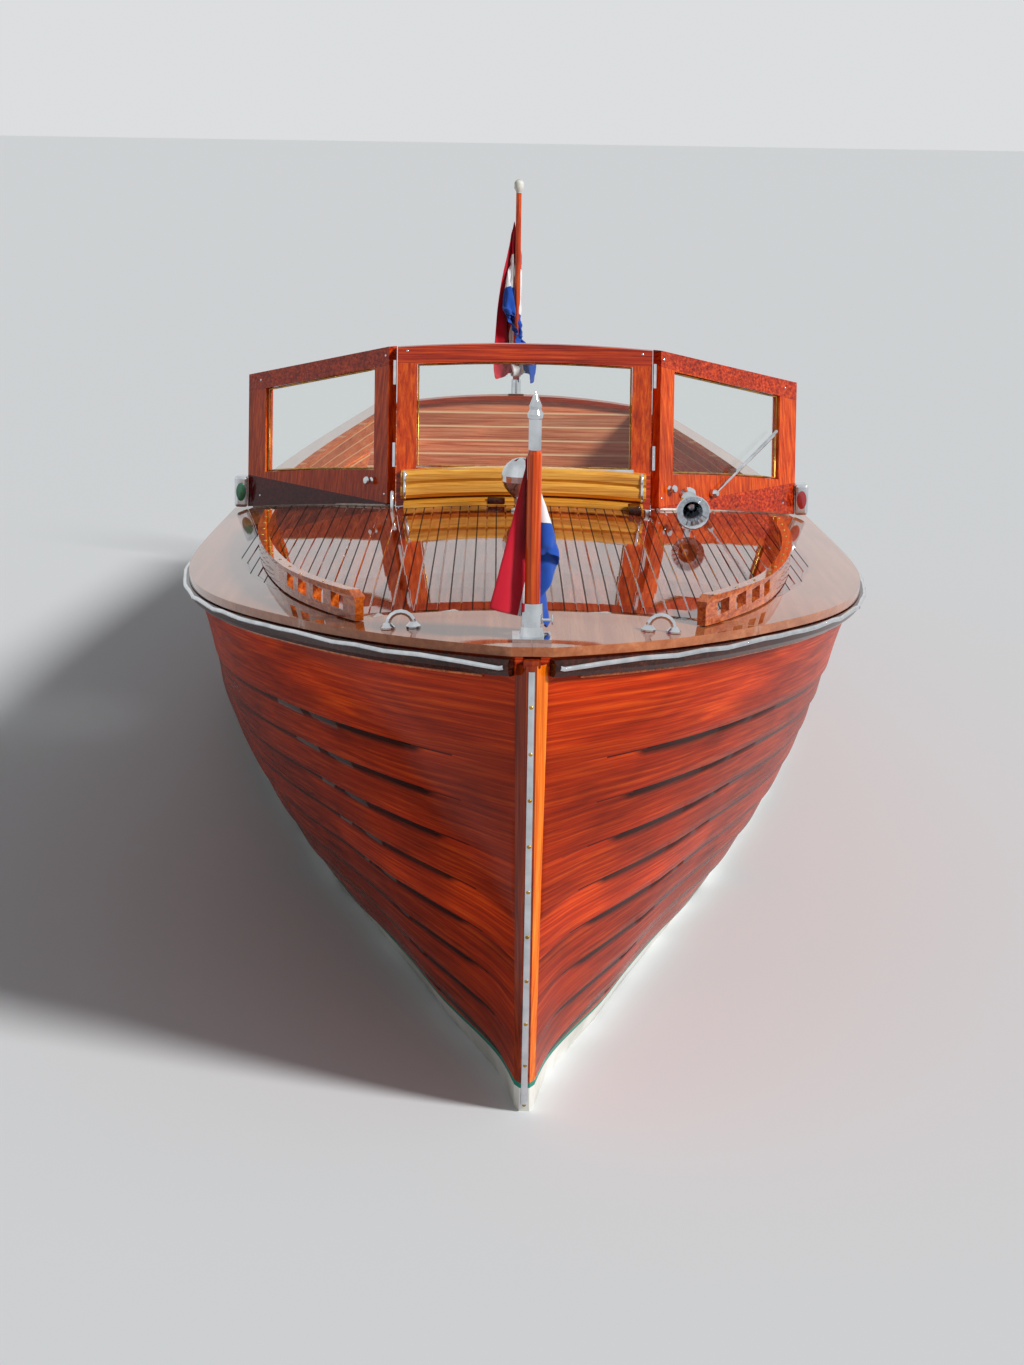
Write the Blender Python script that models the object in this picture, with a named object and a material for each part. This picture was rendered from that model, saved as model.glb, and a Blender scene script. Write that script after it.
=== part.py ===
"""An open mahogany speedboat of the launch type, lapstrake planked, with a three-part wooden windscreen.

Metres, +Z up. The bow points along -Y, port is +X, and z = 0 is the surface she floats on.
Along the boat, places are given as s, the distance aft of the stem at the waterline.
"""

import math

import bmesh
import bpy
from mathutils import Matrix, Vector

# Driving sizes of the hull.
LENGTH = 7.0
BEAM = 2.24
BOW_HEIGHT = 1.115
PLANK = 0.016
LAP_STEP = 0.007
SHEER_STRAKE = 0.26
STRAKES = 13
KEEL_HALF = 0.020
KEELSON_TOP = -0.315
HULL_SECTIONS = 21

# Deck, rails and cockpit.
DECK = 0.022
DECK_RADIUS = 4.4
DECK_OVERHANG = 0.012
COVERING_BOARD = 0.14
PANEL_FRONT = 0.42
SIDE_BOARD_END = 3.45
GUNWALE_WIDTH = 0.075
PLANK_PITCH = 0.056
SEAM = 0.005
SEAM_DEPTH = 0.0025
RAIL_FOOT = 0.045
RAIL_PROUD = 0.026
SOLE_TOP = 0.06
SOLE = 0.022
LINING = 0.012
LINING_SPACE = 0.030
SOLE_MARGIN = 0.030
BEARER = (3.40, 3.90)
COCKPIT_FRONT = 2.76
TRANSOM = 0.036
TRANSOM_CROWN = 0.055
CAP = 0.020

# Windscreen.
SCREEN_S = 2.67
SCREEN_HALF = 0.405
SCREEN_RAKE = math.radians(9)
SCREEN_RISE = 0.493
SCREEN_SILL = 0.105
SCREEN_THICK = 0.032
SCREEN_POST = 0.062
SCREEN_RAIL = 0.056
WING_INSET = 0.0535
WING_S = 3.27
WING_RISE = 0.4385
WING_STILE = 0.062
WING_INNER_STILE = 0.046
WING_BOARD = 0.11
GLASS = 0.006

# Clearances.
GAP = 0.0003
DECK_SEAT = 0.0008
FRAME_SEAT = 0.0024
WING_SEAT = 0.0017
DASH_SEAT = 0.0015
CAP_SEAT = 0.0012
LINING_SEAT = 0.0006
FOOT_SEAT = 0.0005
PANE_GAP = 0.0009

# Running gear.
SHAFT_RADIUS = 0.015
SHAFT_ANGLE = math.radians(9)
SKEG_END = 5.60
SKEG_GROWTH = 0.17
KEEL_STRIP = 0.02
PROPELLER_S = 5.80
PROPELLER_Z = -0.47
PROPELLER_RADIUS = 0.15
BLADES = 3
RUDDER_S = 6.20

MIDSHIPS = LENGTH / 2
ALONG = LENGTH / 7000
ACROSS = BEAM / 2240
UPWARD = BOW_HEIGHT / 1115

# Table of offsets in millimetres on a boat of 7.00 x 2.24 m. Each row is one section, drawn as a
# cubic curve from the keel to the sheer: two ends and two control points.
OFFSETS = (
    # deck s, half, height; upper s, half, height; lower s, half, height; keel s, height
    (-100, 20, 1115, -100, 20, 200, -90, 20, -320, 500, -320),
    (20, 200, 1105, 20, 50, 450, 60, 30, -250, 620, -330),
    (210, 400, 1090, 210, 160, 450, 300, 50, -250, 800, -340),
    (520, 600, 1065, 520, 310, 420, 600, 120, -250, 1020, -355),
    (900, 775, 1030, 900, 440, 400, 950, 170, -270, 1300, -370),
    (1400, 905, 985, 1400, 630, 360, 1420, 290, -290, 1650, -380),
    (2000, 975, 945, 2000, 840, 320, 2000, 460, -310, 2150, -385),
    (2700, 970, 915, 2700, 1040, 280, 2700, 640, -320, 2750, -385),
    (3500, 950, 885, 3500, 1240, 220, 3500, 830, -320, 3500, -375),
    (4400, 920, 855, 4400, 1380, 180, 4400, 1000, -300, 4400, -350),
    (5400, 830, 830, 5400, 1250, 140, 5400, 950, -240, 5400, -290),
    (6300, 720, 815, 6280, 1040, 160, 6250, 780, -160, 6230, -210),
    (6950, 630, 810, 6877, 880, 200, 6842, 640, -90, 6836, -140),
)
LAST = len(OFFSETS) - 1


def clear_scene():
    for obj in list(bpy.data.objects):
        bpy.data.objects.remove(obj, do_unlink=True)


# Materials, one for each finish.


def material(name, colour, roughness, metallic=0.0):
    mat = bpy.data.materials.get(name)
    if mat:
        return mat
    mat = bpy.data.materials.new(name)
    mat.use_nodes = True
    shader = mat.node_tree.nodes["Principled BSDF"]
    shader.inputs["Base Color"].default_value = (*colour, 1)
    shader.inputs["Roughness"].default_value = roughness
    shader.inputs["Metallic"].default_value = metallic
    mat.diffuse_color = (*colour, 1)
    return mat


def mahogany():
    return material("varnished_mahogany", (0.42, 0.07, 0.015), 0.12)


def dark_mahogany():
    return material("dark_mahogany", (0.12, 0.02, 0.008), 0.2)


def golden_wood():
    return material("golden_ash", (0.75, 0.42, 0.10), 0.2)


def chrome():
    return material("polished_chrome", (0.85, 0.86, 0.88), 0.06, 1.0)


def bronze():
    return material("bronze", (0.55, 0.35, 0.12), 0.3, 1.0)


def glass():
    return material("clear_glass", (0.75, 0.85, 0.85), 0.02)


def white_paint():
    return material("white_paint", (0.85, 0.85, 0.82), 0.4)


def black_rubber():
    return material("black_rubber", (0.02, 0.02, 0.022), 0.5)


def cloth():
    return material("flag_bunting", (0.8, 0.1, 0.1), 0.9)


# Small modelling helpers.


def add(name, bm, mat, origin=None, parent=None, smooth=False):
    """One named object from a bmesh in world coordinates, with its origin where it turns."""
    bmesh.ops.recalc_face_normals(bm, faces=bm.faces)
    if bm.calc_volume(signed=True) < 0:
        bmesh.ops.reverse_faces(bm, faces=bm.faces)
    mesh = bpy.data.meshes.new(name)
    at = Vector(origin) if origin else Vector()
    bmesh.ops.translate(bm, verts=bm.verts, vec=-at)
    bm.to_mesh(mesh)
    bm.free()
    mesh.materials.append(mat)
    if smooth:
        mesh.shade_smooth()
        mesh.set_sharp_from_angle(angle=math.radians(35))
    obj = bpy.data.objects.new(name, mesh)
    bpy.context.collection.objects.link(obj)
    obj.location = at
    if parent:
        obj.parent = parent
        obj.location = at - parent.location
    return obj


def skin(rings, bm=None, closed=False):
    """A body lofted through rings of equal length, with its ends filled unless it closes on itself."""
    bm = bm or bmesh.new()
    loops = [[bm.verts.new(p) for p in ring] for ring in rings]
    pairs = list(zip(loops, loops[1:] + loops[:1] if closed else loops[1:]))
    for one, two in pairs:
        for k in range(len(one)):
            n = (k + 1) % len(one)
            bm.faces.new((one[k], one[n], two[n], two[k]))
    if not closed:
        ends = [bm.faces.new(loops[0][::-1]), bm.faces.new(loops[-1])]
        bmesh.ops.triangulate(bm, faces=ends, ngon_method="EAR_CLIP")
    return bm


def prism(outline, run, bm=None):
    """An outline swept along one direction."""
    return skin([outline, [Vector(p) + Vector(run) for p in outline]], bm)


def box(low, high, bm=None):
    x0, y0, z0 = low
    x1, y1, z1 = high
    return prism([Vector(p) for p in ((x0, y0, z0), (x1, y0, z0), (x1, y1, z0), (x0, y1, z0))],
                 (0, 0, z1 - z0), bm)


def turned(profile, steps, place, bm=None):
    """A profile of (radius, height) turned round local Z, then set in place by a matrix."""
    rings = []
    for radius, height in profile:
        rings.append([place @ Vector((radius * math.cos(a), radius * math.sin(a), height))
                      for a in (2 * math.pi * k / steps for k in range(steps))])
    return skin(rings, bm)


def tube(path, radius, steps, bm=None, closed=False):
    """A round bar along a path of points."""
    rings = []
    count = len(path)
    for k, p in enumerate(path):
        before = path[k - 1] if k or closed else p
        after = path[(k + 1) % count] if k < count - 1 or closed else p
        ahead = (Vector(after) - Vector(before)).normalized()
        side = ahead.cross(Vector((0, 0, 1)))
        if side.length < 0.05:
            side = ahead.cross(Vector((1, 0, 0)))
        side.normalize()
        over = side.cross(ahead)
        r = radius[k] if isinstance(radius, (list, tuple)) else radius
        rings.append([Vector(p) + side * r * math.cos(a) + over * r * math.sin(a)
                      for a in (2 * math.pi * j / steps for j in range(steps))])
    return skin(rings, bm, closed)


def merge(target, *others):
    """Joins touching or overlapping pieces of one body with exact unions."""
    for other in others:
        joint = target.modifiers.new("union", "BOOLEAN")
        joint.operation = "UNION"
        joint.object = other
        other.hide_render = True
        other.display_type = "WIRE"
    return target


def cut(target, *cutters, solver="EXACT"):
    for cutter in cutters:
        away = target.modifiers.new("cut", "BOOLEAN")
        away.operation = "DIFFERENCE"
        away.solver = solver
        away.object = cutter
        cutter.hide_render = True
        cutter.display_type = "WIRE"
    return target


def helper(name, bm):
    return add(name, bm, black_rubber())


def aim(origin, direction):
    """A matrix that stands local Z along a direction at a point."""
    turn = Vector(direction).normalized().to_track_quat("Z", "Y").to_matrix().to_4x4()
    return Matrix.Translation(Vector(origin)) @ turn


# The hull's shape.


def offsets_at(u):
    """The table's row at station number u, on a smooth curve through the rows."""
    i = min(int(u), LAST - 1)
    f = u - i
    rows = [OFFSETS[min(max(k, 0), LAST)] for k in (i - 1, i, i + 1, i + 2)]
    if i == 0:
        rows[0] = [2 * a - b for a, b in zip(rows[1], rows[2])]
    if i == LAST - 1:
        rows[3] = [2 * a - b for a, b in zip(rows[2], rows[1])]
    return [0.5 * (2 * b + (c - a) * f + (2 * a - 5 * b + 4 * c - d) * f * f
                   + (3 * b - a - 3 * c + d) * f ** 3)
            for a, b, c, d in zip(*rows)]


def hull_point(u, t):
    """(s, half-breadth, height) on the planking's base surface, t from keel 0 to sheer 1."""
    row = offsets_at(u)
    keel_half = KEEL_HALF / ACROSS + GAP / ACROSS
    points = ((row[9], keel_half, row[10]), (row[6], row[7], row[8]),
              (row[3], row[4], row[5]), (row[0], row[1], row[2]))
    share = ((1 - t) ** 3, 3 * (1 - t) ** 2 * t, 3 * (1 - t) * t * t, t ** 3)
    s, half, height = (sum(w * p[k] for w, p in zip(share, points)) for k in range(3))
    return s * ALONG, max(half * ACROSS, KEEL_HALF + GAP), height * UPWARD


def hull_normal(u, t):
    """Outward direction across the section, as (half-breadth, height)."""
    e = 0.01
    _, x0, z0 = hull_point(u, max(t - e, 0))
    _, x1, z1 = hull_point(u, min(t + e, 1))
    along = Vector((x1 - x0, z1 - z0)).normalized()
    return Vector((along[1], -along[0]))


def bisect(value, low, high, steps=40):
    for _ in range(steps):
        middle = (low + high) / 2
        if value(middle) < 0:
            low = middle
        else:
            high = middle
    return (low + high) / 2


def station_at(s):
    """The station whose sheer is this far aft."""
    return bisect(lambda u: hull_point(u, 1)[0] - s, 0, LAST)


def t_at_depth(u, depth):
    """Where a section passes this far below the sheer."""
    top = hull_point(u, 1)[2]
    return bisect(lambda t: hull_point(u, t)[2] - (top - depth), 0.3, 1)


def t_at_height(u, height):
    return bisect(lambda t: hull_point(u, t)[2] - height, 0, 1)


def girth_marks(u):
    """t of each strake's edge: the wide sheer strake, then equal strakes to the keel."""
    steps = 60
    points = [hull_point(u, 1 - k / steps) for k in range(steps + 1)]
    run = [0.0]
    for a, b in zip(points, points[1:]):
        run.append(run[-1] + math.dist(a, b))
    total = run[-1]
    first = min(SHEER_STRAKE, total * 0.3)
    wanted = [0.0] + [first + (total - first) * k / STRAKES for k in range(STRAKES + 1)]
    marks = []
    for w in wanted:
        k = next((n for n in range(1, steps + 1) if run[n] >= w - 1e-9), steps)
        share = (w - run[k - 1]) / max(run[k] - run[k - 1], 1e-9)
        marks.append(1 - (k - 1 + min(max(share, 0), 1)) / steps)
    return marks


def world(side, s, half, height):
    return Vector((side * half, s - MIDSHIPS, height))


def inside(u, t, depth):
    """A point this far inside the planking's base surface."""
    s, x, z = hull_point(u, t)
    nx, nz = hull_normal(u, t)
    return s, max(x - nx * depth, KEEL_HALF + GAP), z - nz * depth


def half_at(s):
    return hull_point(station_at(s), 1)[1]


def sheer_at(s):
    return hull_point(station_at(s), 1)[2]


def deck_top(x, s):
    """The deck's upper surface: one camber radius on the sheer's height."""
    half = half_at(s)
    return sheer_at(s) + DECK_SEAT + DECK + (half * half - x * x) / (2 * DECK_RADIUS)


def fade(s):
    """How far the laps stand out: flush at the stem, full a metre aft."""
    f = min(max((s - 0.25) / 1.0, 0), 1)
    return 0.0004 + (LAP_STEP - 0.0004) * f * f * (3 - 2 * f)


def strake_marks(u):
    """t of every point across the planking: rail's foot and middle of the sheer strake, then the laps."""
    top = hull_point(u, 1)[2]
    laps = girth_marks(u)
    height = top - hull_point(u, laps[1])[2]
    return [1.0, t_at_depth(u, RAIL_FOOT), t_at_depth(u, height * 0.55)] + laps[1:]


def inner_ring(u, depth):
    """The planking's inner surface at this depth, from keel to sheer."""
    marks = strake_marks(u)
    ring = [inside(u, t, depth) for t in reversed(marks[1:3] + marks[4::2])]
    s, x, z = hull_point(u, 1)
    return ring + [(s, max(x - depth * 1.25, KEEL_HALF + GAP), z)]


RABBET = 0.10
STATIONS = [max(LAST * k / (HULL_SECTIONS - 1), RABBET) for k in range(HULL_SECTIONS)]


# Hull pieces.


def build_planking(side, name):
    rings = []
    for u in STATIONS:
        marks = strake_marks(u)
        lap = fade(hull_point(u, 0.6)[0])
        ring = [world(side, *hull_point(u, t)) for t in marks[:3]]
        for k, t in enumerate(marks[3:]):
            s, x, z = hull_point(u, t)
            if t == marks[-1]:
                ring.append(world(side, s, x, z))
                break
            nx, nz = hull_normal(u, t)
            ring.append(world(side, s, x + nx * lap, z + nz * lap))
            under = hull_point(u, t - 0.002)
            ring.append(world(side, *under))
        ring += [world(side, *p) for p in inner_ring(u, PLANK)]
        rings.append(ring)
    return add(name, skin(rings), mahogany())


def build_stem():
    """The stem timber ahead of the planks' ends, from the stemhead round the forefoot to the keel."""
    rings = []
    front, back, nose, seat = 0.032, 0.055, 0.012, 0.0010
    for t in [0.994] + strake_marks(RABBET)[1:]:
        s, half, z = hull_point(RABBET, t)
        s0, _, z0 = hull_point(RABBET, max(t - 0.02, 0))
        s1, _, z1 = hull_point(RABBET, min(t + 0.02, 1))
        run = Vector((s1 - s0, z1 - z0)).normalized()
        out = Vector((-run[1], run[0]))
        here = Vector((s, z))
        ring = [(-nose, front), (nose, front), (half + 0.001, seat), (KEEL_HALF - GAP, seat),
                (KEEL_HALF - GAP, -back), (GAP - KEEL_HALF, -back), (GAP - KEEL_HALF, seat),
                (-half - 0.001, seat)]
        points = [(x, here + out * reach) for x, reach in ring]
        rings.append([Vector((x, q[0] - MIDSHIPS, q[1])) for x, q in points])
    return add("stem", skin(rings), mahogany())


def keel_line(s):
    """Height of the planking's lower edge at this distance."""
    u = bisect(lambda v: hull_point(v, 0)[0] - s, 0, LAST)
    return hull_point(u, 0)[2]


def keel_top(s):
    """Height of the keel's upper side, which is flat where the keelson's height allows."""
    base = keel_line(s)
    return max(base + 0.03, min(KEELSON_TOP, base + 0.07))


def build_keel():
    """Keel and skeg in one: it deepens aft to carry the shaft, and is a thin strip past its end."""
    start = hull_point(RABBET, 0)[0] + 0.002
    end = hull_point(LAST, 0)[0] - TRANSOM - 0.01
    places = [start + (SKEG_END - start) * k / 14 for k in range(15)]
    places += [SKEG_END + 0.001 + (end - SKEG_END - 0.001) * k / 5 for k in range(6)]
    rings = []
    for s in places:
        base = keel_line(s)
        deep = KEEL_STRIP if s > SKEG_END else 0.05 + SKEG_GROWTH * min(max((s - 1.2) / 4.0, 0), 1)
        top = keel_top(s)
        rings.append([Vector((x, s - MIDSHIPS, z)) for x, z in (
            (-KEEL_HALF, top), (KEEL_HALF, top), (KEEL_HALF, base - 0.004), (0.014, base - deep),
            (-0.014, base - deep), (-KEEL_HALF, base - 0.004))])
    return add("keel", skin(rings), white_paint())


def transom_ring(back):
    """The transom's outline just inside the planking, with its crowned top."""
    ring = []
    u = station_at(hull_point(LAST, 1)[0] - back)
    low = inner_ring(u, PLANK + 0.0012)
    s_top = low[-1][0]
    for s, x, z in low:
        ring.append(world(1, s, x, z))
    count = 6
    half = low[-1][1]
    for k in range(1, count):
        x = half * (1 - 2 * k / count)
        rise = TRANSOM_CROWN * (1 - (x / half) ** 2)
        ring.append(world(1, s_top + rise * 0.12, x, low[-1][2] + rise))
    for s, x, z in reversed(low):
        ring.append(world(-1, s, x, z))
    return ring


def build_transom():
    rings = [transom_ring(TRANSOM + 0.008), transom_ring(0.008)]
    return add("transom", skin(rings), mahogany())


def build_transom_cap():
    """A capping board bent over the transom's crown, between the gunwale caps."""
    s, full, z = inner_ring(LAST - 1e-4, PLANK + 0.0012)[-1]
    half = full - GUNWALE_WIDTH - 0.004 + PLANK
    rings = []
    count = 10
    for k in range(count + 1):
        x = half * (1 - 2 * k / count)
        rise = TRANSOM_CROWN * (1 - (x / full) ** 2)
        low = z + rise + CAP_SEAT
        front = s - TRANSOM - 0.022
        back = s + 0.014
        rings.append([Vector((x, front - MIDSHIPS, low)), Vector((x, back - MIDSHIPS, low)),
                      Vector((x, back - MIDSHIPS, low + CAP)),
                      Vector((x, front - MIDSHIPS, low + CAP))])
    return add("transom_cap", skin(rings), mahogany())


def edge_frame(u):
    """Sheer point and the outward direction in plan."""
    e = 0.02
    s0, x0, _ = hull_point(max(u - e, 0), 1)
    s1, x1, _ = hull_point(min(u + e, LAST), 1)
    run = Vector((x1 - x0, s1 - s0)).normalized()
    return hull_point(u, 1), Vector((run[1], -run[0]))


def build_rub_rail(side, name):
    """Half-round timber rail under the deck's edge, from the stem to the transom."""
    shape = (  # depth below the sheer, share of the rail's proud width
        (0.043, 0.0), (0.043, 0.7), (0.032, 1.0), (0.012, 1.0), (0.004, 0.75), (0.004, 0.0))
    rings = []
    for u in [RABBET + 0.015] + STATIONS[1:]:
        _, out = edge_frame(u)
        top = Vector(hull_point(u, 1))
        foot = Vector(hull_point(u, t_at_depth(u, RAIL_FOOT)))
        ring = []
        for depth, proud in shape:
            s, x, z = top.lerp(foot, depth / RAIL_FOOT)
            reach = 0.0009 + RAIL_PROUD * proud
            ring.append(world(side, s + out[1] * reach, max(x + out[0] * reach, 0.014), z))
        rings.append(ring)
    return add(name, skin(rings), dark_mahogany())


# Deck pieces.

EDGE_STATIONS = [hull_point(u, 1)[0] for u in STATIONS]
WING_HALF = half_at(WING_S) - WING_INSET
DASH_LINE = COCKPIT_FRONT + 0.012
DASH_HALF = SCREEN_HALF - 0.045
DASH_END = WING_HALF - 0.045
DASH_SWEEP = WING_S - SCREEN_S - 0.012
DECK_STATIONS = sorted([s for s in EDGE_STATIONS if s < SIDE_BOARD_END - 0.05]
                       + [PANEL_FRONT, SIDE_BOARD_END])


def seam_half(s):
    """Half-breadth of the seam between the planked panel and the covering board."""
    return half_at(s) - COVERING_BOARD


def deck_strip(side, s, inner, outer, points=4):
    """A ring across a deck board, top then underside."""
    top = []
    for k in range(points):
        x = outer + (inner - outer) * k / (points - 1)
        top.append(world(side, s, x, deck_top(x, s)))
    return top + [p - Vector((0, 0, DECK)) for p in reversed(top)]


def build_covering_board(side, name):
    rings = []
    for s in DECK_STATIONS:
        outer = half_at(s) + DECK_OVERHANG
        if s < PANEL_FRONT:
            rings.append(deck_strip(side, s, GAP, outer))
        elif s == PANEL_FRONT:
            rings.append(deck_strip(side, s - GAP, GAP, outer))
            rings.append(deck_strip(side, s, seam_half(s), outer))
        else:
            rings.append(deck_strip(side, s, seam_half(s), outer))
    return add(name, skin(rings), mahogany())


def build_gunwale_cap(side, name):
    """Narrow capping from the covering board to the transom."""
    rings = []
    for s in [SIDE_BOARD_END + GAP] + [s for s in EDGE_STATIONS if s > SIDE_BOARD_END + 0.02]:
        outer = half_at(s) + DECK_OVERHANG
        inner = outer - DECK_OVERHANG - GUNWALE_WIDTH
        rings.append(deck_strip(side, s, inner, outer, 3))
    return add(name, skin(rings), mahogany())


def panel_ring(s, drop):
    """A ring across the planked foredeck, with a groove at each seam."""
    edge = seam_half(s) - GAP
    pitch = PLANK_PITCH
    seams = int(0.84 / pitch)
    marks = []
    for k in range(-seams, seams + 1):
        for shift, deep in ((-SEAM / 2, 0), (0, 1), (SEAM / 2, 0)):
            marks.append((k * pitch + shift, deep))
    top = []
    count = len(marks)
    for n, (x, deep) in enumerate(marks):
        slack = 0.0002 * (count // 2 - abs(n - count // 2))
        limit = edge - 0.0002 - slack
        held = abs(x) >= limit
        x = max(min(x, limit), -limit) if held else x
        z = deck_top(x, s) - (0 if held or not deep else SEAM_DEPTH)
        top.append(Vector((x, s - MIDSHIPS, z)))
    low = []
    for k in range(9):
        x = edge * (1 - k / 4)
        low.append(Vector((x, s - MIDSHIPS, deck_top(x, s) - drop)))
    return [Vector((-edge, s - MIDSHIPS, deck_top(edge, s)))] + top + [
        Vector((edge, s - MIDSHIPS, deck_top(edge, s)))] + low


def build_foredeck():
    stations = [PANEL_FRONT + GAP] + [s for s in DECK_STATIONS if PANEL_FRONT < s < WING_S] + [WING_S + 0.025]
    panel = add("foredeck_panel", skin([panel_ring(s, DECK) for s in stations]), mahogany())
    y0, y1, y2 = (s - MIDSHIPS for s in (COCKPIT_FRONT, WING_S + 0.09, SIDE_BOARD_END + 0.35))
    corner, past = DASH_END + 0.002, WING_HALF + 0.3
    outline = [(-DASH_HALF, y0), (DASH_HALF, y0), (corner, y1), (past, y2), (-past, y2), (-corner, y1)]
    opening = prism([Vector((x, y, 0.5)) for x, y in outline], (0, 0, 0.9))
    return cut(panel, helper("cockpit_cutter", opening), solver="MANIFOLD")


# Cockpit.


def build_lining(side, name):
    """Horizontal lining boards inside the cockpit's side, from the sole to the gunwale."""
    rings = []
    boards = 6
    start, end = WING_S + 0.15, LENGTH - 0.17
    count = 10
    for k in range(count + 1):
        s_top = start + (end - start) * k / count
        u = station_at(s_top)
        low = t_at_height(u, SOLE_TOP + 0.02)
        outer, inner = [], []
        for b in range(boards + 1):
            t = low + (1 - low) * b / boards
            faces = []
            for depth in (PLANK + LINING_SPACE, PLANK + LINING_SPACE + LINING):
                faces.append(inside(u, t, depth) if b < boards else inner_ring(u, depth)[-1])
            if b == boards:
                faces = [(s, x, deck_top(x, s) - DECK - LINING_SEAT) for s, x, _ in faces]
            s, x, z = faces[0]
            outer.append(world(side, s, x, z))
            s, x, z = faces[1]
            if 0 < b < boards:
                for shift, deep in ((-0.004, 0), (0, 0.004), (0.004, 0)):
                    inner.append(world(side, s, x + deep, z + shift))
            else:
                inner.append(world(side, s, x, z))
        rings.append(outer + inner[::-1])
    return add(name, skin(rings), golden_wood())


def build_sole():
    count = 12
    low, high = 3.0, 6.70
    ring_top = []
    left = []
    for k in range(count + 1):
        s = low + (high - low) * k / count
        u = station_at(s)
        t = t_at_height(u, SOLE_TOP - SOLE)
        half = inside(u, t, PLANK + LINING_SPACE)[1] - SOLE_MARGIN
        ring_top.append(Vector((half, s - MIDSHIPS, SOLE_TOP - SOLE)))
        left.append(Vector((-half, s - MIDSHIPS, SOLE_TOP - SOLE)))
    sole = add("cockpit_sole", prism(ring_top + left[::-1], (0, 0, SOLE)), mahogany())
    s0, s1 = BEARER
    foot = max(keel_top(s0), keel_top((s0 + s1) / 2), keel_top(s1)) + GAP
    bearer = box((-0.03, s0 - MIDSHIPS, foot), (0.03, s1 - MIDSHIPS, SOLE_TOP - SOLE / 2))
    return merge(sole, helper("sole_bearer", bearer))


def dash_place(x):
    """s of the dashboard's aft face at half-breadth x, straight across and then swept aft."""
    return DASH_LINE + max(abs(x) - DASH_HALF, 0) * DASH_SWEEP / (DASH_END - DASH_HALF)


def build_dashboard():
    """The panel under the deck's aft edge, bent to the windscreen's three-part plan."""
    deep, thick = 0.38, 0.020
    wing = [DASH_HALF + (DASH_END - DASH_HALF) * k / 5 for k in range(6)]
    middle = [-DASH_HALF + 2 * DASH_HALF * k / 6 for k in range(1, 6)]
    rings = []
    for x in [-v for v in reversed(wing)] + middle + wing:
        s = dash_place(x)
        z = min(deck_top(x, s), deck_top(x, s - thick)) - DECK - DASH_SEAT
        low = deck_top(DASH_END, dash_place(DASH_END)) - DECK - deep
        rings.append([Vector((x, s - thick - MIDSHIPS, z)), Vector((x, s - MIDSHIPS, z)),
                      Vector((x, s - MIDSHIPS, low)), Vector((x, s - thick - MIDSHIPS, low))])
    return add("dashboard", skin(rings), mahogany())


WHEEL_X = DASH_HALF - 0.06
WHEEL_S = 3.08
WHEEL_Z = 0.80
WHEEL_RADIUS = 0.17
COLUMN_TILT = math.radians(18)
COLUMN = Vector((0, math.cos(COLUMN_TILT), math.sin(COLUMN_TILT)))


def wheel_centre():
    return Vector((WHEEL_X, WHEEL_S - MIDSHIPS, WHEEL_Z))


def build_steering():
    centre = wheel_centre()
    place = aim(centre, COLUMN)
    rim = [place @ Vector((WHEEL_RADIUS * math.cos(a), WHEEL_RADIUS * math.sin(a), 0))
           for a in (2 * math.pi * k / 24 for k in range(24))]
    wheel = add("steering_wheel", tube(rim, 0.013, 6, closed=True), dark_mahogany(), centre)
    hub = turned(((0.030, -0.020), (0.045, -0.008), (0.045, 0.008), (0.020, 0.020)), 16, place)
    parts = [helper("wheel_hub", hub)]
    for k in range(3):
        a = math.pi / 2 + 2 * math.pi * k / 3
        tip = place @ Vector((WHEEL_RADIUS * math.cos(a), WHEEL_RADIUS * math.sin(a), 0))
        parts.append(helper(f"wheel_spoke_{k}", tube([centre, tip], 0.008, 8)))
    merge(wheel, *parts)
    foot = centre - COLUMN * (0.020 + GAP)
    dash_s = DASH_LINE + GAP
    length = (foot.y + MIDSHIPS - dash_s - 0.009) / COLUMN.y
    column = turned(((0.020, 0), (0.020, length)), 14, aim(foot, -COLUMN))
    meet = foot - COLUMN * length
    plate = turned(((0.040, 0), (0.034, 0.016)), 14, aim((meet.x, dash_s - MIDSHIPS, meet.z), (0, 1, 0)))
    return merge(add("steering_column", column, chrome()), helper("column_plate", plate))


# Seats and engine.

ENGINE_BOX = ((-0.30, 4.05), (0.30, 4.95))
BOX_TOP = 0.52
BOX_WALL = 0.018
LID = 0.024
SEAT_HEIGHT = 0.36
SEAT_BOARD = 0.024
CUSHION = 0.06
SEATS = (  # name, front s, back s, half-width, backrest's height
    ("helm", 3.42, 3.80, 0.66, 0.26),
    ("stern", 6.02, 6.42, 0.56, 0.0),
)


def build_engine_box():
    (x0, s0), (x1, s1) = ENGINE_BOX
    y0, y1 = s0 - MIDSHIPS, s1 - MIDSHIPS
    walls = add("engine_box", box((x0, y0, SOLE_TOP + GAP), (x1, y1, BOX_TOP)), mahogany())
    hollow = box((x0 + BOX_WALL, y0 + BOX_WALL, SOLE_TOP - 0.1), (x1 - BOX_WALL, y1 - BOX_WALL, BOX_TOP + 0.1))
    cut(walls, helper("engine_box_hollow", hollow))
    hinge = (0, y0, BOX_TOP + GAP)
    lid = box((x0 - 0.015, y0, BOX_TOP + GAP), (x1 + 0.015, y1 + 0.015, BOX_TOP + LID))
    add("engine_box_lid", lid, mahogany(), hinge)
    engine = box((-0.21, y0 + 0.10, SOLE_TOP + GAP), (0.21, y1 - 0.10, BOX_TOP - 0.06))
    add("engine", engine, material("engine_enamel", (0.05, 0.12, 0.08), 0.4, 0.3))


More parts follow.
